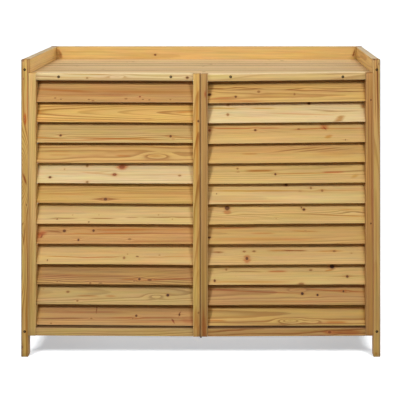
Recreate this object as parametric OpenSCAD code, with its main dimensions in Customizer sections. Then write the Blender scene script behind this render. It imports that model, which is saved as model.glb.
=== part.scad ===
// Slatted timber cover that stands over the outdoor unit of an air conditioner.
// Four legs carry two louvred front panels side by side, a louvred panel on each
// side, and a boarded deck with a raised rim on three sides. The back and the
// underside are open. Millimetres, +Z up, front at -Y, origin at the centre of
// the footprint on the ground.

/* [Overall] */
// Width over the outer faces of the posts
width = 1100; // [900:10:1300]
// Depth over the front and back faces of the posts
depth = 450; // [380:10:600]
// Height of the posts and of the rim
height = 910; // [850:10:1000]

/* [Posts] */
// Post width, seen from the front
post_w = 22; // [18:1:45]
// Post depth, front to back
post_d = 28; // [20:1:45]

/* [Front panels] */
// Height of the panels' lower edge above the ground
panel_low = 64.5; // [40:0.5:100]
// Height of the panels' upper edge above the ground
panel_top = 868; // [800:1:900]
// Width of a stile and height of a top rail
stile_w = 23; // [18:1:45]
// Height of a bottom rail
low_rail_h = 24.5; // [16:0.5:26]
// Front to back size of stiles and rails
frame_d = 28; // [20:1:50]
// Gap between the two front panels
joint_gap = 1; // [1:0.5:6]
// Length of the tenon on each rail end
tenon_l = 12; // [6:1:16]

/* [Louvres] */
// Height of the lowest louvre's front edge
louvre_low = 93.7; // [90:0.1:110]
// Vertical distance from louvre to louvre on the front
louvre_pitch = 62.2; // [55:0.1:70]
// Width of a louvre board, measured up its slope
louvre_w = 72; // [60:1:76]
// Thickness of a louvre board
louvre_t = 12; // [8:1:15]
// Lean of the louvre boards from the vertical, in degrees
louvre_tilt = 30; // [15:1:40]
// Distance of a louvre's lower edge behind the face of the frame
louvre_recess = 6.5; // [2:0.5:12]
// How far each louvre end is let into its stile
louvre_let_in = 3; // [2:0.5:6]
// Vertical distance from louvre to louvre on the sides
side_pitch = 60; // [55:0.1:60]

/* [Deck and rim] */
// Thickness of a deck board
deck_t = 18; // [15:1:25]
// Height of the deck's upper face
deck_top = 866; // [800:1:880]
// Gap between deck boards
deck_gap = 3.2; // [2:0.1:6]
// Thickness of the rim boards
rim_t = 22; // [18:1:28]
// Height of the rim boards
rim_h = 62; // [45:1:90]
// Width and height of the bearers under the deck
bearer = 28; // [22:1:40]

/* [Screws] */
// Head diameter
head_d = 8; // [7:0.5:10]
// Shank diameter
shank_d = 4.2; // [3.5:0.1:5]
// How far a head is sunk below the wood
head_sunk = 1; // [0.5:0.5:3]
// Length of the long screws
long_l = 60; // [50:5:80]
// Length of the short screws
short_l = 40; // [30:5:45]

/* [Part shown] */
// One sub-part by name, or all of them

/* [Hidden] */
ease = 1.6;      // rounding of the long edges of every board
bite = 0.05;     // space round a screw shank
louvres = 12;    // rows on the front and on each side
decks = 6;       // boards in the deck
x_in = width / 2 - post_w;              // inner face of posts, rims and side frames
y_front = -depth / 2;                   // face of the front panels
y_post = depth / 2 - post_d;            // inner face of the posts, front to back
y_back = depth / 2 - rim_t;             // inner face of the back rim
open_out = x_in - stile_w;              // outer end of a front panel's opening
open_in = joint_gap / 2 + stile_w;      // inner end of it
rim_low = height - rim_h;               // lower edge of the rim
deck_low = deck_top - deck_t;           // underside of the deck
deck_first = y_front + frame_d;         // front edge of the first deck board
deck_w = (y_back - deck_first - (decks - 1) * deck_gap) / decks;
bearer_low = deck_low - bearer;
side_stile = 30;                        // side stiles, front to back
side_rail_top = rim_low - stile_w;      // lower edge of the upper side rail
y_side = y_post - side_stile;           // end of the side louvres' opening
z_rim_screw = height - rim_h / 2;
z_low_screw = panel_low + 13;
z_deck_screw = deck_low + deck_t / 2;
z_side_screw = (side_rail_top + rim_low) / 2;

function unit2(v) = v / norm(v);
// A closed outline with each corner rounded to radius r by k straight steps.
function eased(p, r = ease, k = 3) = [
  for (i = [0 : len(p) - 1])
    let (
      v = p[i],
      a = unit2(p[(i + len(p) - 1) % len(p)] - v),
      b = unit2(p[(i + 1) % len(p)] - v),
      half = acos(a * b) / 2,
      m = v + unit2(a + b) * r / sin(half),
      s = v + a * r / tan(half) - m,
      e = v + b * r / tan(half) - m,
      a0 = atan2(s[1], s[0]),
      turn = (atan2(e[1], e[0]) - a0 + 540) % 360 - 180
    )
    for (j = [0 : k]) m + r * [cos(a0 + turn * j / k), sin(a0 + turn * j / k)]
];
function box2(u0, u1, v0, v1) = [[u0, v0], [u1, v0], [u1, v1], [u0, v1]];

// Boards with eased long edges, lying along X, along Y or standing along Z.
module board_x(x0, x1, y0, y1, z0, z1)
  translate([x0, 0, 0]) rotate([90, 0, 90])
    linear_extrude(height = x1 - x0) polygon(eased(box2(y0, y1, z0, z1)));
module board_y(x0, x1, y0, y1, z0, z1)
  translate([0, y1, 0]) rotate([90, 0, 0])
    linear_extrude(height = y1 - y0) polygon(eased(box2(x0, x1, z0, z1)));
module board_z(x0, x1, y0, y1, z0, z1)
  translate([0, 0, z0])
    linear_extrude(height = z1 - z0) polygon(eased(box2(x0, x1, y0, y1)));

// A louvre's section: u runs into the cover from the lower front edge, v is up.
// The lower edge is cut level, the upper edge square.
function louvre_section() = let (
    s = sin(louvre_tilt), c = cos(louvre_tilt), w = louvre_w, t = louvre_t
  ) eased([[0, 0], [t / c, 0], [w * s + t * c, w * c - t * s], [w * s, w * c]], 1.4);

module front_louvre(side, row)
  translate([side > 0 ? open_in - louvre_let_in : -open_out - louvre_let_in,
             y_front + louvre_recess, louvre_low + (louvres - row) * louvre_pitch])
    rotate([90, 0, 90])
      linear_extrude(height = open_out - open_in + 2 * louvre_let_in)
        polygon(louvre_section());

// A row of a side panel, leaning in from the outer face on that side.
module side_louvre(side, row)
  translate([side * (width / 2 - louvre_recess), y_side + louvre_let_in,
             louvre_low + (louvres - row) * side_pitch])
    mirror([side > 0 ? 1 : 0, 0, 0])
      rotate([90, 0, 0])
        linear_extrude(height = 2 * (y_side + louvre_let_in))
          polygon(louvre_section());

// Countersunk screw with a cross recess, head at the origin, shank down -Z.
module screw(l)
  difference() {
    rotate_extrude($fn = 20)
      polygon([[0, 0], [head_d / 2, 0], [head_d / 2, -0.5], [shank_d / 2, -2.6],
               [shank_d / 2, -l + 6], [0, -l]]);
    for (a = [0, 90]) rotate([0, 0, a]) translate([-2.2, -0.45, -1.5]) cube([4.4, 0.9, 2]);
  }
module screw_hole(l) {
  rotate_extrude($fn = 20)
    polygon([[0, 0], [head_d / 2, 0], [head_d / 2, -0.5], [shank_d / 2 + bite, -2.6],
             [shank_d / 2 + bite, -l - 0.5], [0, -l - 0.5]]);
  cylinder(d = head_d, h = head_sunk + 1, $fn = 20);
}
module screws(list, l) for (s = list) translate(s[0]) rotate(s[1]) screw(l);
module holes(list, l) for (s = list) translate(s[0]) rotate(s[1]) screw_hole(l);

to_back = [90, 0, 0];
to_front = [-90, 0, 0];
to_left = [0, 90, 0];
to_right = [0, -90, 0];
upward = [180, 0, 0];

// Through the posts into the ends of the side rims and lower side rails.
function post_screws(sx, sy) = [
  for (z = [z_rim_screw, z_low_screw])
    [[sx * (width - post_w) / 2, sy * (depth / 2 - head_sunk), z], sy < 0 ? to_back : to_front]];
// Through the front top rails into the edge of the first deck board.
function rail_screws(sx) = [
  for (x = [91.5, 435]) [[sx * x, y_front + head_sunk, z_deck_screw], to_back]];
// Through the back posts into the ends of the back rim and the back rail.
function rim_screws(sx) = [
  for (z = [height - 15, deck_top - 3, rim_low - 14])
    [[sx * (width / 2 - head_sunk), depth / 2 - rim_t / 2, z], sx > 0 ? to_left : to_right]];
// Through the back rail into the middle bearer.
tail_screw = [[[0, depth / 2 - head_sunk, rim_low - 14], to_front]];
// Up through the bearers into the deck boards.
function deck_y(i) = deck_first + (deck_w + deck_gap) * i + deck_w / 2 + (i == 0 ? 9 : 0);
function deck_screws(x) = [
  for (i = [0 : decks - 1]) [[x, deck_y(i), bearer_low + head_sunk], upward]];
// Through the side bearers into the upper side rails.
function bearer_screws(sx) = [
  for (y = [-131, 3, 137])
    [[sx * (x_in - bearer + head_sunk), y, z_side_screw], sx > 0 ? to_right : to_left]];
// Through the outer stiles of the front panels into the posts.
function panel_screws(sx) = [
  for (row = [12, 7, 2])
    [[sx * (open_out + head_sunk), y_front + 20,
      louvre_low + (louvres - row) * louvre_pitch + 43], sx > 0 ? to_right : to_left]];

module front_post(side)
  difference() {
    board_z(min(side * x_in, side * width / 2), max(side * x_in, side * width / 2),
            -depth / 2, -y_post, 0, height);
    holes(post_screws(side, -1), long_l);
    holes(panel_screws(side), short_l);
  }
module back_post(side)
  difference() {
    board_z(min(side * x_in, side * width / 2), max(side * x_in, side * width / 2),
            y_post, depth / 2, 0, height);
    holes(post_screws(side, 1), long_l);
    holes(rim_screws(side), long_l);
  }

// Front panel pieces. side is -1 for the left panel and 1 for the right one.
// z and h are the lower edge and the height of the rail.
module tenon(x, z, h, space)
  translate([x - tenon_l - space, y_front + 9 - space, z + 5 - space])
    cube([2 * (tenon_l + space), 10 + 2 * space, h - 10 + 2 * space]);
module front_stile(side, outer) {
  a = outer ? open_out : joint_gap / 2;
  difference() {
    board_z(side > 0 ? a : -a - stile_w, side > 0 ? a + stile_w : -a,
            y_front, y_front + frame_d, panel_low, panel_top);
    for (row = [1 : louvres]) front_louvre(side, row);
    for (rail = [[panel_low, low_rail_h], [panel_top - stile_w, stile_w]])
      tenon(side * (outer ? open_out : open_in), rail[0], rail[1], 0.1);
    if (outer) holes(panel_screws(side), short_l);
  }
}
module front_rail(side, z, h) {
  a = side > 0 ? open_in : -open_out;
  b = side > 0 ? open_out : -open_in;
  difference() {
    union() {
      board_x(a, b, y_front, y_front + frame_d, z, z + h);
      for (x = [a, b]) tenon(x, z, h, 0);
    }
    if (z > height / 2) holes(rail_screws(side), long_l);
  }
}

// Side panel pieces.
module side_rail_board(side, z)
  difference() {
    board_y(min(side * x_in, side * width / 2), max(side * x_in, side * width / 2),
            -y_post, y_post, z, z + stile_w);
    if (z < height / 2) {
      holes([post_screws(side, -1)[1], post_screws(side, 1)[1]], long_l);
    } else {
      holes(bearer_screws(side), short_l);
    }
  }
module side_stile_board(side, y)
  difference() {
    board_z(min(side * x_in, side * width / 2), max(side * x_in, side * width / 2),
            y, y + side_stile, panel_low + stile_w, side_rail_top);
    for (row = [1 : louvres]) side_louvre(side, row);
  }
module side_rim_board(side)
  difference() {
    board_y(min(side * x_in, side * width / 2), max(side * x_in, side * width / 2),
            -y_post, y_post, rim_low, height);
    holes([post_screws(side, -1)[0], post_screws(side, 1)[0]], long_l);
  }

module deck_board(i) {
  y = deck_first + i * (deck_w + deck_gap);
  difference() {
    board_x(-x_in, x_in, y, y + deck_w, deck_low, deck_top);
    for (x = [-x_in + bearer / 2, 0, x_in - bearer / 2]) holes([deck_screws(x)[i]], short_l);
    if (i == 0) for (sx = [-1, 1]) holes(rail_screws(sx), long_l);
  }
}

straw = [0.84, 0.70, 0.48];
honey = [0.80, 0.63, 0.38];
gold = [0.78, 0.58, 0.33];
russet = [0.74, 0.54, 0.35];

module front_left_post() color(gold) front_post(-1);
module front_right_post() color(gold) front_post(1);
module back_left_post() color(gold) back_post(-1);
module back_right_post() color(gold) back_post(1);

module left_outer_stile() color(honey) front_stile(-1, true);
module left_inner_stile() color(honey) front_stile(-1, false);
module left_top_rail() color(straw) front_rail(-1, panel_top - stile_w, stile_w);
module left_bottom_rail() color(honey) front_rail(-1, panel_low, low_rail_h);
module left_louvre_01() color(russet) front_louvre(-1, 1);
module left_louvre_02() color(gold) front_louvre(-1, 2);
module left_louvre_03() color(honey) front_louvre(-1, 3);
module left_louvre_04() color(gold) front_louvre(-1, 4);
module left_louvre_05() color(straw) front_louvre(-1, 5);
module left_louvre_06() color(gold) front_louvre(-1, 6);
module left_louvre_07() color(straw) front_louvre(-1, 7);
module left_louvre_08() color(russet) front_louvre(-1, 8);
module left_louvre_09() color(honey) front_louvre(-1, 9);
module left_louvre_10() color(russet) front_louvre(-1, 10);
module left_louvre_11() color(honey) front_louvre(-1, 11);
module left_louvre_12() color(russet) front_louvre(-1, 12);

module right_outer_stile() color(russet) front_stile(1, true);
module right_inner_stile() color(russet) front_stile(1, false);
module right_top_rail() color(straw) front_rail(1, panel_top - stile_w, stile_w);
module right_bottom_rail() color(russet) front_rail(1, panel_low, low_rail_h);
module right_louvre_01() color(gold) front_louvre(1, 1);
module right_louvre_02() color(straw) front_louvre(1, 2);
module right_louvre_03() color(honey) front_louvre(1, 3);
module right_louvre_04() color(gold) front_louvre(1, 4);
module right_louvre_05() color(straw) front_louvre(1, 5);
module right_louvre_06() color(honey) front_louvre(1, 6);
module right_louvre_07() color(straw) front_louvre(1, 7);
module right_louvre_08() color(gold) front_louvre(1, 8);
module right_louvre_09() color(honey) front_louvre(1, 9);
module right_louvre_10() color(straw) front_louvre(1, 10);
module right_louvre_11() color(russet) front_louvre(1, 11);
module right_louvre_12() color(gold) front_louvre(1, 12);

module left_side_rim() color(gold) side_rim_board(-1);
module right_side_rim() color(gold) side_rim_board(1);
module back_rim()
  color(gold) difference() {
    board_x(-x_in, x_in, y_back, depth / 2, rim_low, height);
    for (sx = [-1, 1]) holes([rim_screws(sx)[0], rim_screws(sx)[1]], long_l);
  }
module back_top_rail()
  color(honey) difference() {
    board_x(-x_in, x_in, y_back, depth / 2, bearer_low, rim_low);
    for (sx = [-1, 1]) holes([rim_screws(sx)[2]], long_l);
    holes(tail_screw, long_l);
  }

module left_side_front_stile() color(honey) side_stile_board(-1, -y_post);
module left_side_back_stile() color(honey) side_stile_board(-1, y_side);
module right_side_front_stile() color(honey) side_stile_board(1, -y_post);
module right_side_back_stile() color(honey) side_stile_board(1, y_side);
// Upper and lower rail of a side panel, two separate pieces.
module left_side_rails()
  color(honey) for (z = [panel_low, side_rail_top]) side_rail_board(-1, z);
module right_side_rails()
  color(honey) for (z = [panel_low, side_rail_top]) side_rail_board(1, z);
// The louvres of a side panel, twelve separate boards.
module left_side_louvres() color(gold) for (row = [1 : louvres]) side_louvre(-1, row);
module right_side_louvres() color(gold) for (row = [1 : louvres]) side_louvre(1, row);

module deck_board_1() color(honey) deck_board(0);
module deck_board_2() color(honey) deck_board(1);
module deck_board_3() color(honey) deck_board(2);
module deck_board_4() color(honey) deck_board(3);
module deck_board_5() color(honey) deck_board(4);
module deck_board_6() color(honey) deck_board(5);

module middle_bearer()
  color(honey) difference() {
    board_y(-bearer / 2, bearer / 2, deck_first, y_back, bearer_low, deck_low);
    holes(deck_screws(0), short_l);
    holes(tail_screw, long_l);
  }
// A bearer along each side, fixed to the upper side rail.
module side_bearers()
  color(honey) for (sx = [-1, 1])
    difference() {
      board_y(min(sx * x_in, sx * (x_in - bearer)), max(sx * x_in, sx * (x_in - bearer)),
              -y_side - 3, y_back, bearer_low, deck_low);
      holes(deck_screws(sx * (x_in - bearer / 2)), short_l);
      holes(bearer_screws(sx), short_l);
    }

module long_screws()
  color([0.22, 0.2, 0.18]) {
    for (sx = [-1, 1]) {
      for (sy = [-1, 1]) screws(post_screws(sx, sy), long_l);
      screws(rail_screws(sx), long_l);
      screws(rim_screws(sx), long_l);
    }
    screws(tail_screw, long_l);
  }
module short_screws()
  color([0.22, 0.2, 0.18]) {
    for (x = [-x_in + bearer / 2, 0, x_in - bearer / 2]) screws(deck_screws(x), short_l);
    for (sx = [-1, 1]) {
      screws(bearer_screws(sx), short_l);
      screws(panel_screws(sx), short_l);
    }
  }
// Clip that holds the two panels together at the foot of their joint: a blade in
// the gap and a tapered head under the stiles.
module joint_clip()
  color([0.3, 0.3, 0.3]) {
    blade = joint_gap / 2 - 0.15;
    translate([0, y_front + 24, 0]) rotate([90, 0, 0]) linear_extrude(height = 20)
      polygon([[-4.5, panel_low], [-4.5, panel_low - 2.5], [-2.5, panel_low - 7.5],
               [2.5, panel_low - 7.5], [4.5, panel_low - 2.5], [4.5, panel_low],
               [blade, panel_low], [blade, panel_low + 22], [-blade, panel_low + 22],
               [-blade, panel_low]]);
  }

front_left_post();
front_right_post();
back_left_post();
back_right_post();
left_outer_stile();
left_inner_stile();
left_top_rail();
left_bottom_rail();
left_louvre_01();
left_louvre_02();
left_louvre_03();
left_louvre_04();
left_louvre_05();
left_louvre_06();
left_louvre_07();
left_louvre_08();
left_louvre_09();
left_louvre_10();
left_louvre_11();
left_louvre_12();
right_outer_stile();
right_inner_stile();
right_top_rail();
right_bottom_rail();
right_louvre_01();
right_louvre_02();
right_louvre_03();
right_louvre_04();
right_louvre_05();
right_louvre_06();
right_louvre_07();
right_louvre_08();
right_louvre_09();
right_louvre_10();
right_louvre_11();
right_louvre_12();
left_side_rim();
right_side_rim();
back_rim();
back_top_rail();
left_side_front_stile();
left_side_back_stile();
right_side_front_stile();
right_side_back_stile();
left_side_rails();
right_side_rails();
left_side_louvres();
right_side_louvres();
deck_board_1();
deck_board_2();
deck_board_3();
deck_board_4();
deck_board_5();
deck_board_6();
middle_bearer();
side_bearers();
long_screws();
short_screws();
joint_clip();
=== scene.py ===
import math
import random

import bmesh
import bpy
from mathutils import Matrix, Vector, noise


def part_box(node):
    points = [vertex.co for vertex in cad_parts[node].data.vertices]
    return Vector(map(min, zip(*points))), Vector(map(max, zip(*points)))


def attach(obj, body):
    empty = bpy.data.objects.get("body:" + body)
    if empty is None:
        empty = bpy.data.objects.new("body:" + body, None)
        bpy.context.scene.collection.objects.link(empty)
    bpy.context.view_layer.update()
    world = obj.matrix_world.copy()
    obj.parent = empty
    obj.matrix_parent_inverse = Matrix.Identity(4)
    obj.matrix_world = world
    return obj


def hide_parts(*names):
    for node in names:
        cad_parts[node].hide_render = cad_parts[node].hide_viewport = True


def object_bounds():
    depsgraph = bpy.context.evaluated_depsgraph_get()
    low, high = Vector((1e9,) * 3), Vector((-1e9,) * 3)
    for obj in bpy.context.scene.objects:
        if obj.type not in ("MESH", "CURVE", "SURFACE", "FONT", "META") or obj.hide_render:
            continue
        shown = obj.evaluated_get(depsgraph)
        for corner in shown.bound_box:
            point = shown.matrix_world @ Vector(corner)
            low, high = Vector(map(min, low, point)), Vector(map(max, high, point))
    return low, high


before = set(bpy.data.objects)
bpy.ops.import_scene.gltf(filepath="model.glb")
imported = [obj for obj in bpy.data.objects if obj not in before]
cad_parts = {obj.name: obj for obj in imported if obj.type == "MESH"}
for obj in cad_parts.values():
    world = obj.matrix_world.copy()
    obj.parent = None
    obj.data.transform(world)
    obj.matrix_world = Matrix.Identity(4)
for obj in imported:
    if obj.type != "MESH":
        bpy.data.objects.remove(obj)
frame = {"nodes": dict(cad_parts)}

cad_lo, cad_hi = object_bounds()
COLL = bpy.context.scene.collection
MM = 0.001


# ---------------------------------------------------------------- camera
# The photograph is drawn like a view camera's: film upright, so that posts stay
# parallel, seen from above the deck. The photograph's frame is 400 by 400.
EYE = Vector((0.1293, -3.025, 1.2086))
FRONT_Y = -0.225
PX = 0.32682e3          # photograph pixels per metre in the front plane
CENTRE_X, GROUND_Y = 200.75, 357.0


def seen(px, py, origin, normal):
    """The point of a plane that the photograph shows at a pixel."""
    far = Vector(((px - CENTRE_X) / PX, FRONT_Y, (GROUND_Y - py) / PX))
    ray = far - EYE
    t = (origin - EYE).dot(normal) / ray.dot(normal)
    return EYE + ray * t


def make_camera():
    data = bpy.data.cameras.new("camera")
    cam = bpy.data.objects.new("camera", data)
    COLL.objects.link(cam)
    film = bpy.data.objects.new("camera_film", None)
    COLL.objects.link(film)
    aim = Vector(((200 - CENTRE_X) / PX, FRONT_Y, (GROUND_Y - 200) / PX)) - EYE
    back = -aim.normalized()
    cam.parent = film
    cam.matrix_parent_inverse = Matrix((
        (1, 0, back.x, EYE.x),
        (0, 0, back.y, EYE.y),
        (0, 1, back.z, EYE.z),
        (0, 0, 0, 1),
    ))
    data.sensor_width = 36.0
    data.lens = PX * aim.length * 36.0 / 400
    data.clip_start, data.clip_end = 0.1, 200
    bpy.context.scene.camera = cam


# ---------------------------------------------------------------- colours
def lin(rgb):
    return tuple(
        (c / 255 / 12.92) if c / 255 <= 0.04045 else ((c / 255 + 0.055) / 1.055) ** 2.4
        for c in rgb
    )


# Springwood, summerwood and sapwood colour of each kind of board.
TONES = {
    "cream": ((226, 199, 144), (198, 156, 94), (234, 211, 160)),
    "straw": ((220, 186, 120), (186, 140, 76), (230, 204, 144)),
    "khaki": ((212, 176, 108), (172, 132, 68), (222, 192, 132)),
    "honey": ((216, 178, 111), (180, 132, 66), (226, 194, 130)),
    "gold": ((216, 174, 96), (174, 122, 50), (224, 188, 116)),
    "orange": ((212, 170, 98), (168, 114, 50), (222, 182, 114)),
    "tan": ((214, 176, 108), (172, 124, 66), (222, 188, 128)),
    "russet": ((206, 160, 94), (160, 104, 50), (216, 176, 112)),
    "brown": ((192, 147, 82), (142, 95, 42), (204, 162, 100)),
    "nut": ((190, 139, 75), (146, 94, 42), (200, 152, 88)),
    "deck": ((216, 184, 134), (178, 140, 92), (224, 194, 148)),
    "rim": ((220, 182, 110), (184, 136, 68), (228, 192, 126)),
}


# ---------------------------------------------------------------- node helpers
class Tree:
    """Short hand for building a shader tree."""

    def __init__(self, mat):
        mat.use_nodes = True
        self.t = mat.node_tree
        self.t.nodes.clear()
        self.count = 0

    def node(self, kind, **props):
        n = self.t.nodes.new(kind)
        n.location = (180 * (self.count % 12), -180 * (self.count // 12))
        self.count += 1
        for k, v in props.items():
            setattr(n, k, v)
        return n

    def put(self, socket, value):
        if isinstance(value, bpy.types.NodeSocket):
            self.t.links.new(value, socket)
        elif value is not None:
            socket.default_value = value

    def math(self, op, a, b=None, c=None, clamp=False):
        n = self.node("ShaderNodeMath", operation=op, use_clamp=clamp)
        for s, v in zip(n.inputs, (a, b, c)):
            self.put(s, v)
        return n.outputs[0]

    def vec(self, op, a, b=None, out=0, c=None):
        n = self.node("ShaderNodeVectorMath", operation=op)
        self.put(n.inputs[0], a)
        if b is not None:
            self.put(n.inputs[1], b)
        if c is not None:
            self.put(n.inputs[2], c)
        return n.outputs[out]

    def dot(self, a, b):
        return self.vec("DOT_PRODUCT", a, b, out=1)

    def xyz(self, x, y, z):
        n = self.node("ShaderNodeCombineXYZ")
        for s, v in zip(n.inputs, (x, y, z)):
            self.put(s, v)
        return n.outputs[0]

    def noise(self, vector, detail=2.0, rough=0.5, distortion=0.0, out=0):
        n = self.node("ShaderNodeTexNoise")
        self.put(n.inputs["Vector"], vector)
        n.inputs["Scale"].default_value = 1.0
        n.inputs["Detail"].default_value = detail
        n.inputs["Roughness"].default_value = rough
        n.inputs["Distortion"].default_value = distortion
        return n.outputs[out]

    def smooth(self, x, lo, hi, out_lo=0.0, out_hi=1.0):
        n = self.node("ShaderNodeMapRange", interpolation_type="SMOOTHSTEP")
        self.put(n.inputs["Value"], x)
        for k, v in (("From Min", lo), ("From Max", hi), ("To Min", out_lo), ("To Max", out_hi)):
            self.put(n.inputs[k], v)
        return n.outputs[0]

    def mix(self, fac, a, b, blend="MIX"):
        n = self.node("ShaderNodeMix", data_type="RGBA", blend_type=blend)
        self.put(n.inputs[0], fac)
        for s, v in ((n.inputs[6], a), (n.inputs[7], b)):
            self.put(s, (*v, 1.0) if isinstance(v, tuple) and len(v) == 3 else v)
        return n.outputs[2]

    def curve(self, x, points):
        n = self.node("ShaderNodeFloatCurve")
        c = n.mapping.curves[0]
        while len(c.points) > 2:
            c.points.remove(c.points[1])
        c.points[0].location, c.points[-1].location = points[0], points[-1]
        for p in points[1:-1]:
            c.points.new(*p)
        n.mapping.update()
        self.put(n.inputs["Value"], x)
        return n.outputs[0]


# ---------------------------------------------------------------- wood
class Board:
    """One board: where its grain runs and how big it is, in millimetres.

    o is the corner its own sizes count from, l runs along the grain, a across
    the shown face and b through the thickness."""

    def __init__(self, o, l, a, b, size):
        self.o, self.l, self.a, self.b, self.size = o, l, a, b, size

    def point(self, u, v, w):
        return self.o + (self.l * u + self.a * v + self.b * w) * MM


KNOT_LOOK = {
    # core, rim and halo colour, how dark the core is, how strong its tail along the grain
    "black": ((52, 26, 10), (88, 46, 14), (178, 120, 62), 0.97, 0.45),
    "dark": ((84, 44, 14), (114, 64, 22), (188, 130, 68), 0.92, 0.50),
    "red": ((126, 60, 26), (158, 84, 38), (202, 134, 78), 0.88, 0.55),
    "brown": ((134, 86, 36), (156, 104, 48), (198, 146, 82), 0.75, 0.40),
    "faint": ((176, 126, 64), (186, 138, 74), (206, 160, 96), 0.55, 0.25),
    "pin": ((116, 72, 30), (134, 88, 40), (196, 148, 86), 0.80, 0.35),
}


def wood(name, board, tone, seed, pith=None, tilt=None, ring=2.6, contrast=1.0,
         knots=(), eyes=(), streaks=(), patches=(), light=1.0, wavy=1.0, face=1,
         edges=(), cap=None, ends=1.0):
    """Solid wood: growth rings round a pith that runs beside or below the board, so
    that faces, edges and ends all show the same rings. Knots push the grain aside,
    eyes are places where the rings swell, streaks are single dark or red years, and
    patches are tinted areas, a few of them painted shadows. edges are strips along the
    long edges coloured with painted shade, painted highlight and grime, cap gives the
    faces that look one way a painted highlight when its colour is pale and painted shade
    when it is dark, and ends is how much darker the end grain is. Lengths are
    in millimetres."""
    rng = random.Random(seed)
    mat = bpy.data.materials.new(name)
    t = Tree(mat)
    lx, ax, bx = board.size
    if pith is None:
        pith = (rng.choice((-1, 1)) * rng.uniform(8, 62) + ax / 2, rng.uniform(55, 105))
    if tilt is None:
        tilt = (rng.uniform(-0.008, 0.008), rng.uniform(-0.022, 0.022))
    coord = t.node("ShaderNodeTexCoord")
    p = t.vec("SUBTRACT", coord.outputs["Object"], tuple(board.o))
    u = t.dot(p, tuple(board.l / MM))
    v = t.dot(p, tuple(board.a / MM))
    w = t.dot(p, tuple(board.b / MM))
    shift = rng.uniform(0, 400)

    # slow and quick wobble of the rings
    slow = t.noise(t.xyz(t.math("MULTIPLY_ADD", u, 1 / 330, shift), t.math("MULTIPLY", v, 1 / 80),
                         t.math("MULTIPLY", w, 1 / 80)), 2.0)
    quick = t.noise(t.xyz(t.math("MULTIPLY_ADD", u, 1 / 70, shift + 9), t.math("MULTIPLY", v, 1 / 12),
                          t.math("MULTIPLY", w, 1 / 12)), 2.0)
    side = t.noise(t.xyz(t.math("MULTIPLY_ADD", u, 1 / 300, shift + 31), 0.4, 0.9), 1.5)
    mid = board.size[0] / 2

    # knots bend the grain round themselves
    bent = v
    masks = []
    for ku, kv, kr, stretch, kind in knots:
        du = t.math("MULTIPLY_ADD", u, 1 / kr, -ku / kr)
        dk = t.math("MULTIPLY_ADD", v, 1 / kr, -kv / kr)
        du2, dk2 = t.math("MULTIPLY", du, du), t.math("MULTIPLY", dk, dk)
        e = t.math("EXPONENT", t.math("MULTIPLY_ADD", du2, -0.05, t.math("MULTIPLY", dk2, -0.30)))
        bent = t.math("MULTIPLY_ADD", t.math("MULTIPLY", dk, e), -0.85 * kr, bent)
        near = t.math("SQRT", t.math("MULTIPLY_ADD", du2, 1 / stretch ** 2, dk2))
        near = t.math("ADD", near, t.math("MULTIPLY_ADD", quick, 0.5, -0.25))
        tail = t.math("EXPONENT", t.math("MULTIPLY_ADD", du2, -1 / 11.0, t.math("MULTIPLY", dk2, -2.6)))
        masks.append((near, tail, kind))

    pv = t.math("MULTIPLY_ADD", u, tilt[0], pith[0] - tilt[0] * mid)
    pv = t.math("MULTIPLY_ADD", side, 13 * wavy, t.math("SUBTRACT", pv, 6.5 * wavy))
    pw = t.math("MULTIPLY_ADD", u, tilt[1], pith[1] - tilt[1] * mid)
    dv = t.math("SUBTRACT", bent, pv)
    dw = t.math("SUBTRACT", w, pw)
    r = t.math("SQRT", t.math("ADD", t.math("MULTIPLY", dv, dv), t.math("MULTIPLY", dw, dw)))
    r = t.math("MULTIPLY_ADD", slow, 5.0 * wavy, r)
    r = t.math("MULTIPLY_ADD", quick, 0.9 * wavy, r)
    for eu, ev, su, sv, years in eyes:
        du = t.math("MULTIPLY_ADD", u, 1 / su, -eu / su)
        dk = t.math("MULTIPLY_ADD", v, 1 / sv, -ev / sv)
        e = t.math("EXPONENT", t.math("MULTIPLY_ADD", t.math("MULTIPLY", du, du), -1.0,
                                      t.math("MULTIPLY", t.math("MULTIPLY", dk, dk), -1.0)))
        r = t.math("MULTIPLY_ADD", e, years * ring, r)

    # the rings themselves: pale springwood that darkens slowly, then a sharp edge
    pace = t.noise(t.xyz(t.math("MULTIPLY", r, 1 / 15), shift, 0.3), 1.0)
    phase = t.math("ADD", t.math("MULTIPLY", r, 1 / ring), t.math("MULTIPLY", pace, 2.4))
    f = t.math("FRACT", phase)
    late = t.curve(f, [(0, 0.0), (0.3, 0.03), (0.55, 0.2), (0.76, 0.8), (0.88, 1.0), (0.965, 0.75), (1.0, 0.0)])
    year = t.noise(t.xyz(t.math("MULTIPLY", t.math("FLOOR", phase), 0.37), shift, 0.7), 0.0)
    late = t.math("MULTIPLY", late, t.smooth(year, 0.25, 0.72, 0.25, 1.3))

    fibre = t.noise(t.xyz(t.math("MULTIPLY_ADD", u, 1 / 46, shift), t.math("MULTIPLY", v, 1 / 0.9),
                          t.math("MULTIPLY", w, 1 / 0.9)), 3.0, 0.6)
    streak = t.noise(t.xyz(t.math("MULTIPLY_ADD", u, 1 / 240, shift + 3), t.math("MULTIPLY", bent, 1 / 6.0),
                           t.math("MULTIPLY", w, 1 / 6.0)), 3.0, 0.58)
    cloud = t.noise(t.xyz(t.math("MULTIPLY_ADD", u, 1 / 120, shift + 7), t.math("MULTIPLY", bent, 1 / 15.0),
                          t.math("MULTIPLY", w, 1 / 15.0)), 2.0, 0.5, out=1)

    early_c, late_c, sap_c = (lin(c) for c in TONES[tone])
    col = t.mix(t.math("MULTIPLY", late, 0.78 * contrast, clamp=True), early_c, late_c)
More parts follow.
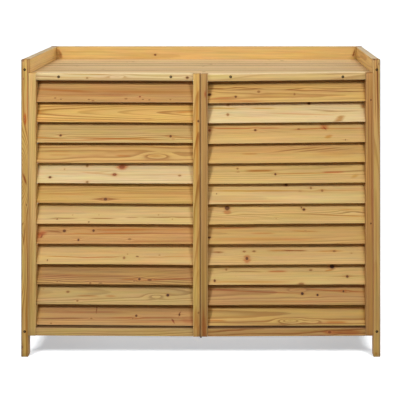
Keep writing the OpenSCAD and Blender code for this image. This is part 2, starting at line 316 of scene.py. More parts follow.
    # faint drift between pink, yellow and grey along the grain
    tint = t.vec("MULTIPLY_ADD", cloud, (0.22, 0.26, 0.42), c=(0.89, 0.87, 0.79))
    col = t.vec("MULTIPLY", col, tint)
    tone_mul = t.math("MULTIPLY_ADD", streak, 0.50, 0.75)
    tone_mul = t.math("MULTIPLY", tone_mul, t.math("MULTIPLY_ADD", fibre, 0.20, 0.90))
    tone_mul = t.math("MULTIPLY", tone_mul, light)
    col = t.vec("SCALE", col, None)
    t.put(col.node.inputs["Scale"], tone_mul)

    # resin: few short dark threads along the grain
    resin = t.noise(t.xyz(t.math("MULTIPLY_ADD", u, 1 / 9.5, shift + 77), t.math("MULTIPLY", v, 1 / 0.75),
                          t.math("MULTIPLY", w, 1 / 0.75)), 1.0)
    col = t.mix(t.smooth(resin, 0.735, 0.80, 0.0, 0.55), col, lin((150, 94, 48)))

    # single years and tinted areas; both waver a little
    vv = t.math("ADD", bent, t.math("ADD", t.math("MULTIPLY_ADD", side, 5.0, -2.5),
                                    t.math("MULTIPLY_ADD", quick, 2.2, -1.1)))
    height = t.math("MULTIPLY", late, 0.5)
    for u0, v0, u1, v1, half, colour, much in streaks:
        hu, slope = (u1 - u0) / 2, (v1 - v0) / (u1 - u0)
        du = t.math("MULTIPLY_ADD", u, 1 / hu, -(u0 + u1) / 2 / hu)
        du2 = t.math("MULTIPLY", du, du)
        dk = t.math("MULTIPLY_ADD", vv, 1 / half, t.math("MULTIPLY_ADD", u, -slope / half, (slope * u0 - v0) / half))
        e = t.math("EXPONENT", t.math("MULTIPLY_ADD", t.math("MULTIPLY", du2, du2), -1.0,
                                      t.math("MULTIPLY", t.math("MULTIPLY", dk, dk), -1.0)))
        e = t.math("MULTIPLY", e, t.math("MULTIPLY_ADD", streak, 1.2 * much, 0.4 * much), clamp=True)
        col = t.mix(e, col, lin(colour), "MULTIPLY")
    # patches: tinted areas, and a few painted shadows cast by one board on another
    for pu, pv2, ru, rv, turn, colour, much in patches:
        c, n = math.cos(math.radians(turn)), math.sin(math.radians(turn))
        du = t.math("MULTIPLY_ADD", u, c / ru, t.math("MULTIPLY_ADD", vv, n / ru, -(c * pu + n * pv2) / ru))
        dk = t.math("MULTIPLY_ADD", u, -n / rv, t.math("MULTIPLY_ADD", vv, c / rv, (n * pu - c * pv2) / rv))
        d = t.math("SQRT", t.math("MULTIPLY_ADD", du, du, t.math("MULTIPLY", dk, dk)))
        d = t.math("ADD", d, t.math("MULTIPLY_ADD", quick, 1.5, t.math("MULTIPLY_ADD", streak, 1.4, -1.35)))
        col = t.mix(t.smooth(d, 0.25, 1.3, much, 0.0), col, lin(colour), "MULTIPLY")

    for near, tail, kind in masks:
        core, rim, halo, depth, trail = KNOT_LOOK[kind]
        col = t.mix(t.math("MULTIPLY", tail, trail), col, lin(halo))
        col = t.mix(t.smooth(near, 0.95, 1.9, 0.6 * depth, 0.0), col, lin(halo))
        rings = t.math("SINE", t.math("MULTIPLY", near, 11.0))
        heart = t.mix(t.math("MULTIPLY_ADD", rings, 0.3, 0.35), lin(core), lin(rim))
        col = t.mix(t.smooth(near, 0.72, 1.12, depth, 0.0), col, heart)
        height = t.math("ADD", height, t.smooth(near, 0.7, 1.05, 0.8, 0.0))

    # long edges: rubbed pale, ends: darker, end grain drinks the light
    ev = t.math("MINIMUM", v, t.math("SUBTRACT", ax, v))
    ew = t.math("MINIMUM", w, t.math("SUBTRACT", bx, w))
    rub = t.math("MAXIMUM", t.math("ABSOLUTE", ev), t.math("ABSOLUTE", ew))
    rub = t.math("ADD", rub, t.math("MULTIPLY", quick, 1.6))
    col = t.mix(t.smooth(rub, 0.8, 3.4, 0.24, 0.0), col, lin((234, 208, 164)))
    # strips along a long edge: painted shade in joints, gaps and under arrises, painted highlight along lit edges, with
    # some grime in a joint
    for which, reach, colour, much in edges:
        near_edge = v if which == 0 else t.math("SUBTRACT", ax, v)
        near_edge = t.math("ADD", near_edge, t.math("MULTIPLY_ADD", streak, 0.8 * reach, -0.4 * reach))
        col = t.mix(t.smooth(near_edge, 0.3 * reach, reach, much, 0.0), col, lin(colour))
    # cap: the faces that look one way get a painted highlight when its colour is pale, painted shade when it is dark
    if cap:
        way, colour, much = cap
        col = t.mix(t.smooth(t.dot(coord.outputs["Normal"], way), 0.5, 0.95, 0.0, much),
                    col, t.mix(late, lin(colour), lin(tuple(c * 0.86 for c in colour))))
    el = t.math("MINIMUM", u, t.math("SUBTRACT", lx, u))
    soak = t.smooth(t.math("MULTIPLY_ADD", streak, 10.0, el), 4.0, 22.0, 0.26 * ends, 0.0)
    col = t.mix(soak, col, lin((188, 160, 128)), "MULTIPLY")
    facing = t.math("ABSOLUTE", t.dot(coord.outputs["Normal"], tuple(board.l)))
    col = t.mix(t.smooth(facing, 0.55, 0.9, 0.0, 0.75 * ends), col, lin((190, 158, 122)), "MULTIPLY")

    # planed surface: raised summerwood, fibres, faint ripple of the planer knife
    ripple = t.math("SINE", t.math("MULTIPLY", u, 2 * math.pi / 3.4))
    height = t.math("MULTIPLY_ADD", fibre, 0.9, height)
    height = t.math("MULTIPLY_ADD", ripple, 0.035, height)
    bump = t.node("ShaderNodeBump")
    bump.inputs["Strength"].default_value = 0.55
    bump.inputs["Distance"].default_value = 0.00035
    t.put(bump.inputs["Height"], height)

    rough = t.math("MULTIPLY_ADD", fibre, 0.22, 0.50)
    rough = t.math("MULTIPLY_ADD", late, -0.10, rough)
    rough = t.math("ADD", rough, t.smooth(facing, 0.55, 0.9, 0.0, 0.15), clamp=True)
    b = t.node("ShaderNodeBsdfPrincipled")
    t.put(b.inputs["Base Color"], col)
    t.put(b.inputs["Roughness"], rough)
    t.put(b.inputs["Normal"], bump.outputs[0])
    b.inputs["IOR"].default_value = 1.47
    b.inputs["Specular IOR Level"].default_value = 0.32
    out = t.node("ShaderNodeOutputMaterial")
    t.put(out.inputs["Surface"], b.outputs[0])
    return mat


# ---------------------------------------------------------------- board meshes
def rounded(points, r, steps=5, support=1.1, spacing=16.0):
    """A closed section with rounded corners, and points along its flats so that
    the flats can bow and keep their shading."""
    n = len(points)
    out = []
    arcs = []
    for i, p in enumerate(points):
        p = Vector(p)
        a = (Vector(points[i - 1]) - p).normalized()
        b = (Vector(points[(i + 1) % n]) - p).normalized()
        half = a.angle(b) / 2
        m = p + (a + b).normalized() * (r / math.sin(half))
        s, e = p + a * (r / math.tan(half)) - m, p + b * (r / math.tan(half)) - m
        a0 = math.atan2(s.y, s.x)
        turn = (math.atan2(e.y, e.x) - a0 + math.pi) % (2 * math.pi) - math.pi
        arcs.append([m + r * Vector((math.cos(a0 + turn * k / steps), math.sin(a0 + turn * k / steps)))
                     for k in range(steps + 1)])
    for i in range(n):
        out += arcs[i]
        s, e = arcs[i][-1], arcs[(i + 1) % n][0]
        length = (e - s).length
        if length > 3.2 * support:
            way = (e - s) / length
            inner = length - 2 * support
            k = max(1, round(inner / spacing))
            out += [s + way * (support + inner * j / k) for j in range(k + 1)]
    return out


def board_mesh(name, board, section, bow=(0.0, 0.0), twist=0.0, rough=0.1, seed=0, clip=None,
               chamfer=0.9, step=22.0):
    """A board swept along its grain: eased long edges, broken ends, a little bow,
    twist and cutter waver. section holds (a, b) points in millimetres."""
    lx, ax, bx = board.size
    stations = [0.0, chamfer * 0.45, chamfer]
    k = max(2, round((lx - 2 * chamfer) / step))
    stations += [chamfer + (lx - 2 * chamfer) * j / k for j in range(1, k)]
    stations += [lx - s for s in (chamfer, chamfer * 0.45, 0.0)]
    inset = {0.0: 1.0, chamfer * 0.45: 0.32}
    cv, cw = sum(p.x for p in section) / len(section), sum(p.y for p in section) / len(section)
    bm = bmesh.new()
    rings = []
    for u in stations:
        t = u / lx
        near_end = min(u, lx - u)
        cut = next((chamfer * f for s, f in inset.items() if abs(near_end - s) < 1e-6), 0.0)
        arch = 1 - (2 * t - 1) ** 2
        angle = math.radians(twist) * (2 * t - 1)
        ring = []
        for j, p in enumerate(section):
            v, w = p.x - cv, p.y - cw
            far = math.hypot(v, w)
            if cut:
                v -= math.copysign(min(cut, abs(v)), v)
                w -= math.copysign(min(cut, abs(w)), w)
            v, w = v * math.cos(angle) - w * math.sin(angle), v * math.sin(angle) + w * math.cos(angle)
            q = Vector((u / 95 + seed * 7.3, p.x / 30, p.y / 30))
            v += cv + bow[0] * arch + rough * noise.noise(q)
            w += cw + bow[1] * arch + rough * noise.noise(q + Vector((0, 50, 0)))
            c = board.point(u, v, w)
            if clip:
                c = Vector((min(max(x, lo + 1e-5), hi - 1e-5) for x, lo, hi in zip(c, *clip)))
            ring.append(bm.verts.new(c))
        rings.append(ring)
    n = len(section)
    for a, b in zip(rings, rings[1:]):
        for j in range(n):
            bm.faces.new((a[j], a[(j + 1) % n], b[(j + 1) % n], b[j]))
    bm.faces.new(list(reversed(rings[0])))
    bm.faces.new(rings[-1])
    bmesh.ops.recalc_face_normals(bm, faces=bm.faces)
    me = bpy.data.meshes.new(name)
    bm.to_mesh(me)
    bm.free()
    for poly in me.polygons:
        poly.use_smooth = True
    me.set_sharp_from_angle(angle=math.radians(32))
    ob = bpy.data.objects.new(name, me)
    COLL.objects.link(ob)
    return ob


def drill(ob, spots, radius=4.25, depth=2.4):
    """Cuts screw recesses. spots are (point on the face, way into the wood) in metres."""
    bm = bmesh.new()
    for p, way in spots:
        turn = Vector((0, 0, 1)).rotation_difference(Vector(way)).to_matrix().to_4x4()
        m = Matrix.Translation(Vector(p) + Vector(way) * (depth / 2 - 1.5) * MM) @ turn
        got = bmesh.ops.create_cone(bm, cap_ends=True, segments=28, radius1=radius * 1.07 * MM,
                                    radius2=radius * 0.96 * MM, depth=(depth + 3) * MM, matrix=m)
        del got
    me = bpy.data.meshes.new("recess")
    bm.to_mesh(me)
    bm.free()
    tool = bpy.data.objects.new("recess", me)
    COLL.objects.link(tool)
    mod = ob.modifiers.new("recess", "BOOLEAN")
    mod.operation, mod.solver, mod.object = "DIFFERENCE", "EXACT", tool
    dg = bpy.context.evaluated_depsgraph_get()
    new = bpy.data.meshes.new_from_object(ob.evaluated_get(dg))
    old = ob.data
    ob.modifiers.clear()
    ob.data = new
    new.name = ob.name
    bpy.data.meshes.remove(old)
    bpy.data.objects.remove(tool)
    bpy.data.meshes.remove(me)
    new.set_sharp_from_angle(angle=math.radians(32))


def leaning(o, length, lean):
    """Corner, grain and upright of a board along X, lifted by lean[0] millimetres at
    its middle and tilted by lean[1] radians, about its middle."""
    lift, turn = lean
    l, a = Vector((math.cos(turn), 0, math.sin(turn))), Vector((-math.sin(turn), 0, math.cos(turn)))
    return o + Vector((0, 0, lift - math.sin(turn) * length / 2)) * MM, l, a


def straight(node, name, axis, shown, tone, seed, slot, spots=(), box=None, inset=0.1, radius=None,
             bow=0.25, lean=(0.0, 0.0), **look):
    """A square-edged board in a CAD node's place. axis is the grain's way and shown
    the way its main face looks, such as "x" and "-y". lean lifts the middle of a board
    along X by so many millimetres and tilts it."""
    lo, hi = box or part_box(node)
    lo, hi = Vector(lo), Vector(hi)
    rng = random.Random(seed)
    ways = {"x": Vector((1, 0, 0)), "y": Vector((0, 1, 0)), "z": Vector((0, 0, 1))}
    l = ways[axis]
    out = ways[shown[-1]] * (-1 if shown[0] == "-" else 1)
    b = -out
    a = next(w for k, w in ways.items() if k not in (axis, shown[-1]))
    size = [abs((hi - lo).dot(w)) / MM for w in (l, a, b)]
    o = Vector((lo.x, lo.y, lo.z))
    if shown[0] != "-":
        o += out * (hi - lo).dot(out)
    clip = (lo, hi)
    if lean != (0.0, 0.0):
        o, l, a = leaning(o, size[0], lean)
        clip = (cad_lo, cad_hi)
    board = Board(o, l, a, b, size)
    g = inset
    sec = rounded([(g, g), (size[1] - g, g), (size[1] - g, size[2] - g), (g, size[2] - g)],
                  radius or rng.uniform(1.7, 2.4))
    ob = board_mesh(name, board, sec, bow=(rng.uniform(-bow, bow), rng.uniform(-bow, bow)),
                    twist=rng.uniform(-0.8, 0.8) * bow, rough=min(0.1, 0.4 * bow), seed=seed, clip=clip)
    if spots:
        drill(ob, spots)
    ob.data.materials.clear()
    ob.data.materials.append(wood(name + "_wood", board, tone, seed, **look))
    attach(ob, "root")
    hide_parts(node)
    return ob, board


# ---------------------------------------------------------------- louvres
TILT = math.radians(30)
LW, LT = 72.0, 12.0      # louvre board: width up the slope, thickness


def louvre_board():
    """A front louvre's ways up its slope and through it."""
    return Vector((0, math.sin(TILT), math.cos(TILT))), Vector((0, math.cos(TILT), -math.sin(TILT)))


def louvre_section(g=0.15):
    # a is up the slope, b through the board; the lower edge is cut level
    low = math.tan(TILT) * LT
    return [(g, g), (LW - g, g), (LW - g, LT - g), (low + g, LT - g)]


# What the photograph's boards show, placed by its pixels. A knot is (x, y, radius,
# kind, stretch), an eye (x, y, half length, half height, years), a streak (x0, y0,
# x1, y1, half height, colour, strength) and a patch (x, y, half length, half height,
# turn in degrees, colour, strength). Colours multiply the wood's own.
AMBER, RUST, PINK, HONEY, SOOT = (234, 196, 146), (226, 176, 146), (240, 206, 192), (238, 212, 150), (186, 144, 100)
PALE = (255, 255, 255)

LEFT = {
    1: dict(tone="russet", pith=(92, 62), tilt=(0.004, 0.006), light=0.97,
            streaks=[(36, 88.9, 90, 91.6, 1.5, AMBER, 0.9), (84, 91.0, 198, 92.6, 2.4, AMBER, 0.6),
                     (40, 94.6, 120, 95.4, 0.9, RUST, 0.5)],
            patches=[(118, 95.5, 16, 2.2, 0, RUST, 0.35)],
            knots=[(55.2, 98.0, 0.8, "brown", 1.5), (60.9, 99.2, 0.5, "pin", 2.0), (88.8, 99.6, 0.6, "pin", 2.0),
                   (92.9, 100.7, 0.9, "brown", 1.8), (126.0, 98.8, 0.8, "brown", 2.0), (139.9, 96.6, 0.8, "red", 1.2),
                   (143.0, 99.4, 0.5, "pin", 2.4), (149.4, 99.9, 0.6, "pin", 2.0), (170.4, 99.6, 0.7, "brown", 1.4)]),
    2: dict(tone="gold", pith=(33, 25), tilt=(0.0, -0.024), contrast=1.2, ring=3.4, wavy=0.6, light=1.05,
            patches=[(149.2, 118.8, 6, 1.0, 0, SOOT, 0.45)],
            streaks=[(176, 112.4, 196, 111.6, 1.0, AMBER, 1.0), (34, 119.8, 120, 120.2, 0.8, AMBER, 0.5)]),
    3: dict(tone="khaki", pith=(-18, 66), tilt=(0.004, 0.004), light=0.94, contrast=1.1,
            streaks=[(34, 137.6, 64, 138.9, 0.7, AMBER, 1.3), (78, 137.6, 162, 140.0, 0.8, AMBER, 1.3),
                     (84, 139.8, 158, 137.2, 0.7, AMBER, 1.0), (40, 141.0, 110, 140.2, 0.6, RUST, 0.7),
                     (160, 135.6, 196, 138.6, 0.7, AMBER, 0.9)],
            knots=[(60.6, 135.4, 1.05, "dark", 1.15), (170.6, 136.2, 1.15, "dark", 1.1), (173.2, 139.0, 0.9, "faint", 1.8)]),
    4: dict(tone="orange", pith=(30, 74), tilt=(0.003, 0.003), contrast=0.9, wavy=0.8, light=0.99,
            eyes=[(156.4, 155.9, 15.5, 2.9, 1.7)],
            streaks=[(46, 151.6, 70, 151.8, 0.7, AMBER, 0.6), (50, 155.2, 70, 155.0, 0.8, AMBER, 0.6),
                     (116, 155.6, 131, 155.7, 1.0, AMBER, 0.9)],
            patches=[(156.4, 156.0, 13, 1.9, 0, (226, 190, 118), 0.6)]),
    5: dict(tone="cream", pith=(-30, 82), tilt=(0.003, 0.004), contrast=0.55, light=0.966,
            streaks=[(82, 172.2, 112, 174.6, 0.6, AMBER, 0.7), (92, 173.0, 118, 170.8, 0.5, AMBER, 0.5),
                     (118, 174.8, 196, 174.0, 0.5, AMBER, 0.5), (36, 173.6, 84, 174.0, 0.5, AMBER, 0.35)],
            patches=[(122.0, 166.6, 6.2, 3.4, 6, (222, 140, 104), 0.9)],
            knots=[(121.9, 167.0, 1.7, "red", 1.7), (114.5, 174.5, 1.35, "red", 1.5), (50.0, 177.3, 0.95, "dark", 1.4),
                   (87.2, 165.8, 1.2, "brown", 1.0), (87.2, 182.0, 1.0, "brown", 1.2), (179.7, 175.6, 0.8, "brown", 1.7),
                   (64.5, 169.2, 0.7, "faint", 1.0)]),
    6: dict(tone="gold", pith=(84, 58), tilt=(-0.004, 0.008), light=0.95, wavy=0.9, contrast=1.5, ring=3.0,
            streaks=[(120, 192.4, 196, 193.4, 1.0, AMBER, 0.5), (34, 193.6, 90, 194.4, 0.7, AMBER, 0.6),
                     (100, 197.6, 190, 196.8, 0.7, AMBER, 0.5), (93, 199.4, 118, 199.2, 0.6, SOOT, 1.1)],
            knots=[(105.5, 199.2, 1.35, "dark", 1.35)]),
    7: dict(tone="straw", pith=(44, 92), tilt=(0.002, 0.003), contrast=0.45, light=0.97, wavy=0.6,
            streaks=[(50, 218.7, 76, 218.4, 0.45, SOOT, 1.0), (90, 218.5, 114, 218.6, 0.45, SOOT, 1.0),
                     (126, 217.6, 138, 217.5, 0.4, SOOT, 0.8), (144, 217.5, 196, 217.2, 0.5, SOOT, 1.0)],
            knots=[(72.7, 215.0, 0.55, "faint", 1.0), (99.0, 214.9, 0.5, "faint", 1.0), (57.2, 219.0, 0.6, "pin", 1.3),
                   (88.8, 222.0, 0.65, "pin", 1.2), (158.5, 214.9, 0.7, "faint", 1.0), (172.4, 219.2, 0.7, "faint", 1.0)]),
    8: dict(tone="russet", pith=(100, 50), tilt=(0.003, 0.004), light=1.11, contrast=1.4, ring=2.8,
            streaks=[(92, 230.4, 150, 229.8, 1.3, AMBER, 1.0), (146, 230.0, 196, 229.4, 1.0, AMBER, 0.5),
                     (100, 233.0, 196, 233.6, 0.6, RUST, 0.7),
                     (60, 234.0, 150, 233.4, 0.6, AMBER, 1.0), (46, 231.0, 62, 231.6, 0.9, SOOT, 0.9),
                     (120, 241.6, 196, 241.0, 1.0, RUST, 0.6)],
            patches=[(40.5, 234.8, 8.0, 3.8, 35, (228, 162, 128), 0.95), (41.6, 236.4, 2.2, 1.2, 60, (168, 92, 62), 0.8)],
            knots=[(64.3, 230.9, 1.3, "dark", 1.25), (93.6, 230.7, 1.15, "dark", 1.0), (78.4, 240.0, 1.2, "dark", 0.8),
                   (129.6, 239.2, 0.95, "brown", 1.8)]),
    9: dict(tone="honey", pith=(30, 90), tilt=(0.002, 0.004), contrast=0.5, light=1.02, wavy=0.6,
            streaks=[(46, 256.3, 84, 257.4, 0.5, AMBER, 1.1), (80, 257.6, 120, 256.8, 0.55, RUST, 1.1),
                     (140, 257.0, 196, 256.8, 0.45, AMBER, 0.7)],
            knots=[(124.1, 257.8, 1.2, "brown", 1.0), (127.5, 254.2, 0.7, "faint", 1.0), (137.3, 256.5, 0.6, "pin", 2.2),
                   (47.4, 260.2, 0.8, "pin", 0.7), (159.5, 255.2, 0.7, "faint", 1.5)]),
    10: dict(tone="brown", pith=(-10, 56), tilt=(-0.004, 0.006), light=1.02, contrast=1.3, ring=2.6,
             streaks=[(144, 279.6, 196, 278.8, 0.7, RUST, 1.1), (120, 279.4, 142, 279.0, 0.8, AMBER, 0.8),
                      (38, 275.4, 130, 276.6, 1.6, RUST, 0.5)],
             knots=[(139.4, 279.0, 1.25, "dark", 1.1), (134.2, 280.9, 0.8, "brown", 1.3), (149.7, 279.9, 0.7, "dark", 3.2),
                    (90.3, 283.0, 1.0, "brown", 1.2), (100.5, 283.0, 0.6, "pin", 3.5), (57.2, 281.4, 0.7, "brown", 1.3)]),
    11: dict(tone="khaki", pith=(36, 60), tilt=(0.0, 0.016), light=0.916, contrast=0.9, wavy=0.9,
             eyes=[(156.0, 296.0, 12.0, 2.6, 1.5)],
             patches=[(111, 295.6, 7, 1.6, 0, (228, 176, 124), 0.6)],
             streaks=[(78, 295.6, 98, 296.0, 0.7, AMBER, 0.9)],
             knots=[(167.8, 295.1, 1.2, "black", 1.15), (67.9, 291.7, 1.0, "brown", 1.5), (77.4, 300.7, 0.9, "brown", 1.3),
                    (43.5, 288.9, 0.7, "faint", 1.2)]),
    12: dict(tone="russet", pith=(-26, 46), tilt=(0.003, -0.003), light=0.945, contrast=1.5, ring=3.0,
             streaks=[(36, 318.6, 84, 318.2, 0.6, SOOT, 0.9), (104, 318.0, 196, 317.2, 0.7, RUST, 0.9),
                      (50, 312.0, 120, 312.4, 0.6, RUST, 0.7), (120, 322.0, 196, 321.0, 1.2, RUST, 0.5)],
             patches=[(179.7, 314.0, 3.4, 0.9, 58, (168, 96, 58), 0.95), (173.4, 321.6, 3.4, 1.0, -56, (186, 104, 70), 0.9),
                      (96.6, 310.0, 3.4, 0.7, 90, (176, 112, 68), 0.8), (189, 321, 8, 3, 0, (236, 186, 160), 0.6)],
             knots=[(179.4, 314.6, 1.1, "dark", 0.8), (136.3, 315.7, 1.1, "dark", 1.0), (132.7, 318.5, 0.75, "brown", 1.2),
                    (91.3, 318.5, 0.75, "brown", 1.6), (51.0, 323.4, 0.7, "brown", 1.2)]),
}
RIGHT = {
    1: dict(tone="orange", pith=(22, 56), tilt=(-0.003, 0.004), light=1.041, contrast=1.0,
            eyes=[(322.0, 90.8, 34.0, 3.0, 1.0)],
            streaks=[(208, 88.4, 226, 89.0, 0.6, SOOT, 1.2), (226, 88.6, 238, 87.4, 0.35, SOOT, 1.3),
                     (236, 87.4, 262, 89.2, 0.35, SOOT, 1.3), (228, 90.2, 262, 89.4, 0.4, SOOT, 1.3),
                     (286, 89.4, 304, 88.0, 0.4, SOOT, 1.2), (286, 89.6, 366, 91.6, 0.4, SOOT, 1.1),
                     (208, 98.4, 234, 97.4, 1.0, RUST, 0.9), (208, 101.0, 262, 101.2, 1.4, RUST, 0.7)],
            knots=[(258.7, 91.6, 1.2, "brown", 1.2), (235.7, 96.8, 1.05, "dark", 1.1), (209.4, 94.7, 1.4, "dark", 1.3),
                   (294.5, 94.2, 1.1, "brown", 0.9)]),
    2: dict(tone="cream", pith=(84, 88), tilt=(0.003, 0.006), contrast=0.55, light=1.022, wavy=0.8,
            streaks=[(209, 108.3, 236, 108.4, 0.8, HONEY, 1.4), (252, 108.4, 274, 108.3, 0.7, HONEY, 1.0),
                     (310, 109.4, 336, 111.2, 0.5, SOOT, 0.7), (320, 111.6, 360, 110.6, 0.5, SOOT, 0.7),
                     (268, 113.2, 330, 114.6, 0.6, PINK, 0.9)],
            patches=[(339.5, 118.6, 6.2, 2.8, 24, (206, 158, 98), 0.85), (363, 106.4, 3.2, 2.4, 0, (190, 146, 92), 0.8)],
            knots=[(227.8, 114.6, 1.3, "brown", 0.95), (228.2, 104.9, 1.1, "brown", 1.3), (308.9, 103.4, 1.3, "dark", 1.1),
                   (340.5, 117.6, 1.3, "faint", 1.5)]),
    3: dict(tone="tan", pith=(96, 60), tilt=(0.004, 0.005), light=1.027, contrast=0.8,
            streaks=[(207, 128.7, 242, 128.6, 0.7, RUST, 1.4), (240, 128.8, 280, 127.9, 0.6, RUST, 1.3),
                     (294, 129.2, 322, 128.2, 0.6, RUST, 1.1), (322, 128.4, 366, 128.6, 0.6, AMBER, 0.8)],
            patches=[(324.2, 127.4, 5.0, 3.4, 0, (224, 150, 108), 0.8), (325.0, 128.4, 3.2, 0.7, -52, (188, 104, 62), 0.9),
                     (328.5, 136.4, 4.4, 2.0, 20, (236, 200, 122), 0.8)],
            knots=[(255.3, 130.1, 1.0, "dark", 1.2), (209.6, 130.3, 1.3, "red", 1.0), (298.7, 129.0, 0.5, "dark", 3.0),
                   (345.4, 139.8, 0.8, "pin", 0.5)]),
    4: dict(tone="orange", pith=(-14, 74), tilt=(-0.03, -0.012), light=0.99, contrast=0.45, wavy=0.8,
            eyes=[(300, 148.0, 26, 2.6, 2.2), (344, 146.6, 16, 2.4, 1.6)],
            streaks=[(242, 153.7, 258, 153.6, 0.7, AMBER, 1.0), (276, 151.8, 322, 147.0, 0.5, SOOT, 0.9),
                     (296, 152.2, 340, 147.6, 0.5, SOOT, 0.9), (318, 151.8, 352, 148.6, 0.4, SOOT, 0.7)],
            patches=[(338, 154, 24, 4, 0, (240, 206, 172), 0.4)]),
    5: dict(tone="khaki", pith=(52, 76), tilt=(0.003, 0.004), light=1.027, contrast=0.6,
            streaks=[(246, 170.8, 274, 170.6, 1.1, (216, 168, 96), 1.1), (276, 173.8, 330, 172.6, 0.5, AMBER, 1.0),
                     (324, 172.0, 344, 171.7, 0.9, RUST, 1.3), (344, 171.4, 366, 170.2, 0.5, SOOT, 0.8)],
            patches=[(354.6, 176.0, 5, 2.2, 20, (238, 214, 142), 0.7)],
            knots=[(275.4, 174.2, 1.0, "dark", 1.0), (237.5, 168.6, 0.8, "brown", 1.2), (238.2, 171.8, 0.8, "faint", 2.2)]),
    6: dict(tone="straw", pith=(20, 96), tilt=(0.002, 0.003), light=0.99, contrast=0.35, wavy=0.6,
            streaks=[(212, 191.0, 300, 190.9, 0.8, HONEY, 1.2), (300, 190.8, 366, 190.4, 0.7, AMBER, 0.7),
                     (209, 201.6, 280, 201.4, 1.0, PINK, 0.8)],
            knots=[(310.9, 188.0, 1.05, "brown", 0.9), (322.2, 190.6, 1.05, "brown", 1.1), (300.2, 191.2, 0.6, "faint", 2.6),
                   (216.6, 193.8, 0.6, "pin", 0.8), (286.1, 185.0, 1.2, "dark", 1.3)]),
    7: dict(tone="khaki", pith=(66, 54), tilt=(0.004, 0.014), light=1.10, contrast=1.05, wavy=0.8,
            eyes=[(352.0, 211.0, 18.0, 2.8, 1.6), (236.0, 211.5, 20.0, 3.2, 1.5)],
            streaks=[(300, 213.6, 366, 217.0, 0.6, AMBER, 0.9)],
            patches=[(346, 209.8, 12, 1.6, 0, (244, 204, 160), 0.6), (227.2, 211.5, 4.0, 3.6, 0, (226, 164, 116), 0.7)],
            knots=[(227.2, 208.2, 2.0, "dark", 1.15), (303.9, 209.6, 1.2, "dark", 1.1), (301.4, 207.6, 0.7, "dark", 0.8),
                   (276.2, 218.6, 0.7, "faint", 1.0)]),
    8: dict(tone="orange", pith=(34, 84), tilt=(0.002, 0.008), light=0.96, contrast=0.75, wavy=0.8,
            streaks=[(210, 228.2, 254, 227.8, 0.7, RUST, 1.0), (252, 233.4, 274, 233.2, 0.7, AMBER, 0.7),
                     (292, 230.6, 318, 231.4, 0.6, AMBER, 0.8), (208, 238.8, 320, 239.6, 1.8, (236, 180, 112), 0.5)],
            knots=[(209.4, 237.5, 0.9, "dark", 1.8), (305.5, 230.7, 0.6, "faint", 2.0)]),
    9: dict(tone="honey", pith=(60, 84), tilt=(0.002, 0.003), light=1.006, contrast=0.6, wavy=0.6,
            streaks=[(268, 250.7, 292, 250.8, 0.9, AMBER, 1.0), (284, 250.9, 306, 250.8, 0.6, SOOT, 1.3),
                     (210, 252.2, 224, 252.2, 0.6, SOOT, 0.8), (318, 251.4, 342, 251.0, 0.6, AMBER, 0.8)],
            patches=[(247.0, 259.8, 3.8, 5.0, 0, (222, 152, 106), 0.85)],
            knots=[(246.9, 258.4, 1.4, "dark", 0.9), (244.3, 251.5, 0.8, "brown", 1.8), (254.0, 251.3, 0.8, "brown", 2.0),
                   (334.2, 251.1, 0.75, "brown", 1.7), (351.5, 253.2, 0.6, "faint", 1.6), (218.6, 252.2, 0.6, "brown", 2.0)]),
    10: dict(tone="khaki", pith=(64, 70), tilt=(0.003, 0.006), light=1.059, contrast=0.7, wavy=0.7,
             eyes=[(252.0, 271.0, 30.0, 2.8, 1.6)],
             streaks=[(230, 271.6, 262, 271.9, 0.5, SOOT, 0.8), (268, 271.6, 286, 271.4, 0.8, RUST, 1.2),
                      (325, 270.6, 333, 268.4, 0.7, AMBER, 1.2), (330, 276.6, 366, 276.2, 0.4, SOOT, 0.6),
                      (209, 281.8, 290, 282.0, 1.2, (236, 196, 134), 0.7)],
             knots=[(332.1, 266.6, 1.9, "black", 1.3), (347.3, 276.4, 1.2, "dark", 1.05), (310.7, 270.1, 0.8, "brown", 1.9),
                    (214.7, 280.8, 1.2, "dark", 0.9), (226.3, 269.5, 0.9, "brown", 1.0), (301.3, 283.8, 1.0, "brown", 2.6)]),
    11: dict(tone="russet", pith=(40, 60), tilt=(0.002, 0.004), light=0.927, contrast=0.8, wavy=0.7,
             eyes=[(297.5, 290.3, 11.0, 1.9, 1.6)],
             streaks=[(208, 289.6, 236, 290.2, 1.1, (230, 176, 132), 0.8), (225, 290.6, 300, 293.6, 0.6, RUST, 0.9),
                      (306, 289.6, 366, 292.0, 0.8, RUST, 1.1), (225, 302.0, 366, 301.4, 0.6, RUST, 0.5)],
             patches=[(297.5, 290.2, 8, 1.1, 0, (255, 226, 206), 0.5)],
             knots=[(302.3, 293.6, 1.35, "black", 1.05), (317.5, 295.0, 1.0, "black", 1.05), (343.4, 291.3, 0.95, "dark", 1.0),
                    (347.8, 291.8, 0.6, "faint", 1.4)]),
    12: dict(tone="gold", pith=(34, 88), tilt=(0.002, 0.004), light=0.93, contrast=1.35, wavy=0.55,
             eyes=[(290.0, 320.6, 12.5, 2.3, 3.0), (313.0, 321.2, 8.0, 1.6, 1.6)],
             streaks=[(207, 320.6, 226, 320.8, 0.7, AMBER, 1.0), (326, 322.0, 346, 322.2, 1.0, AMBER, 1.1),
                      (220, 323.4, 290, 324.0, 0.7, SOOT, 0.5)]),
}


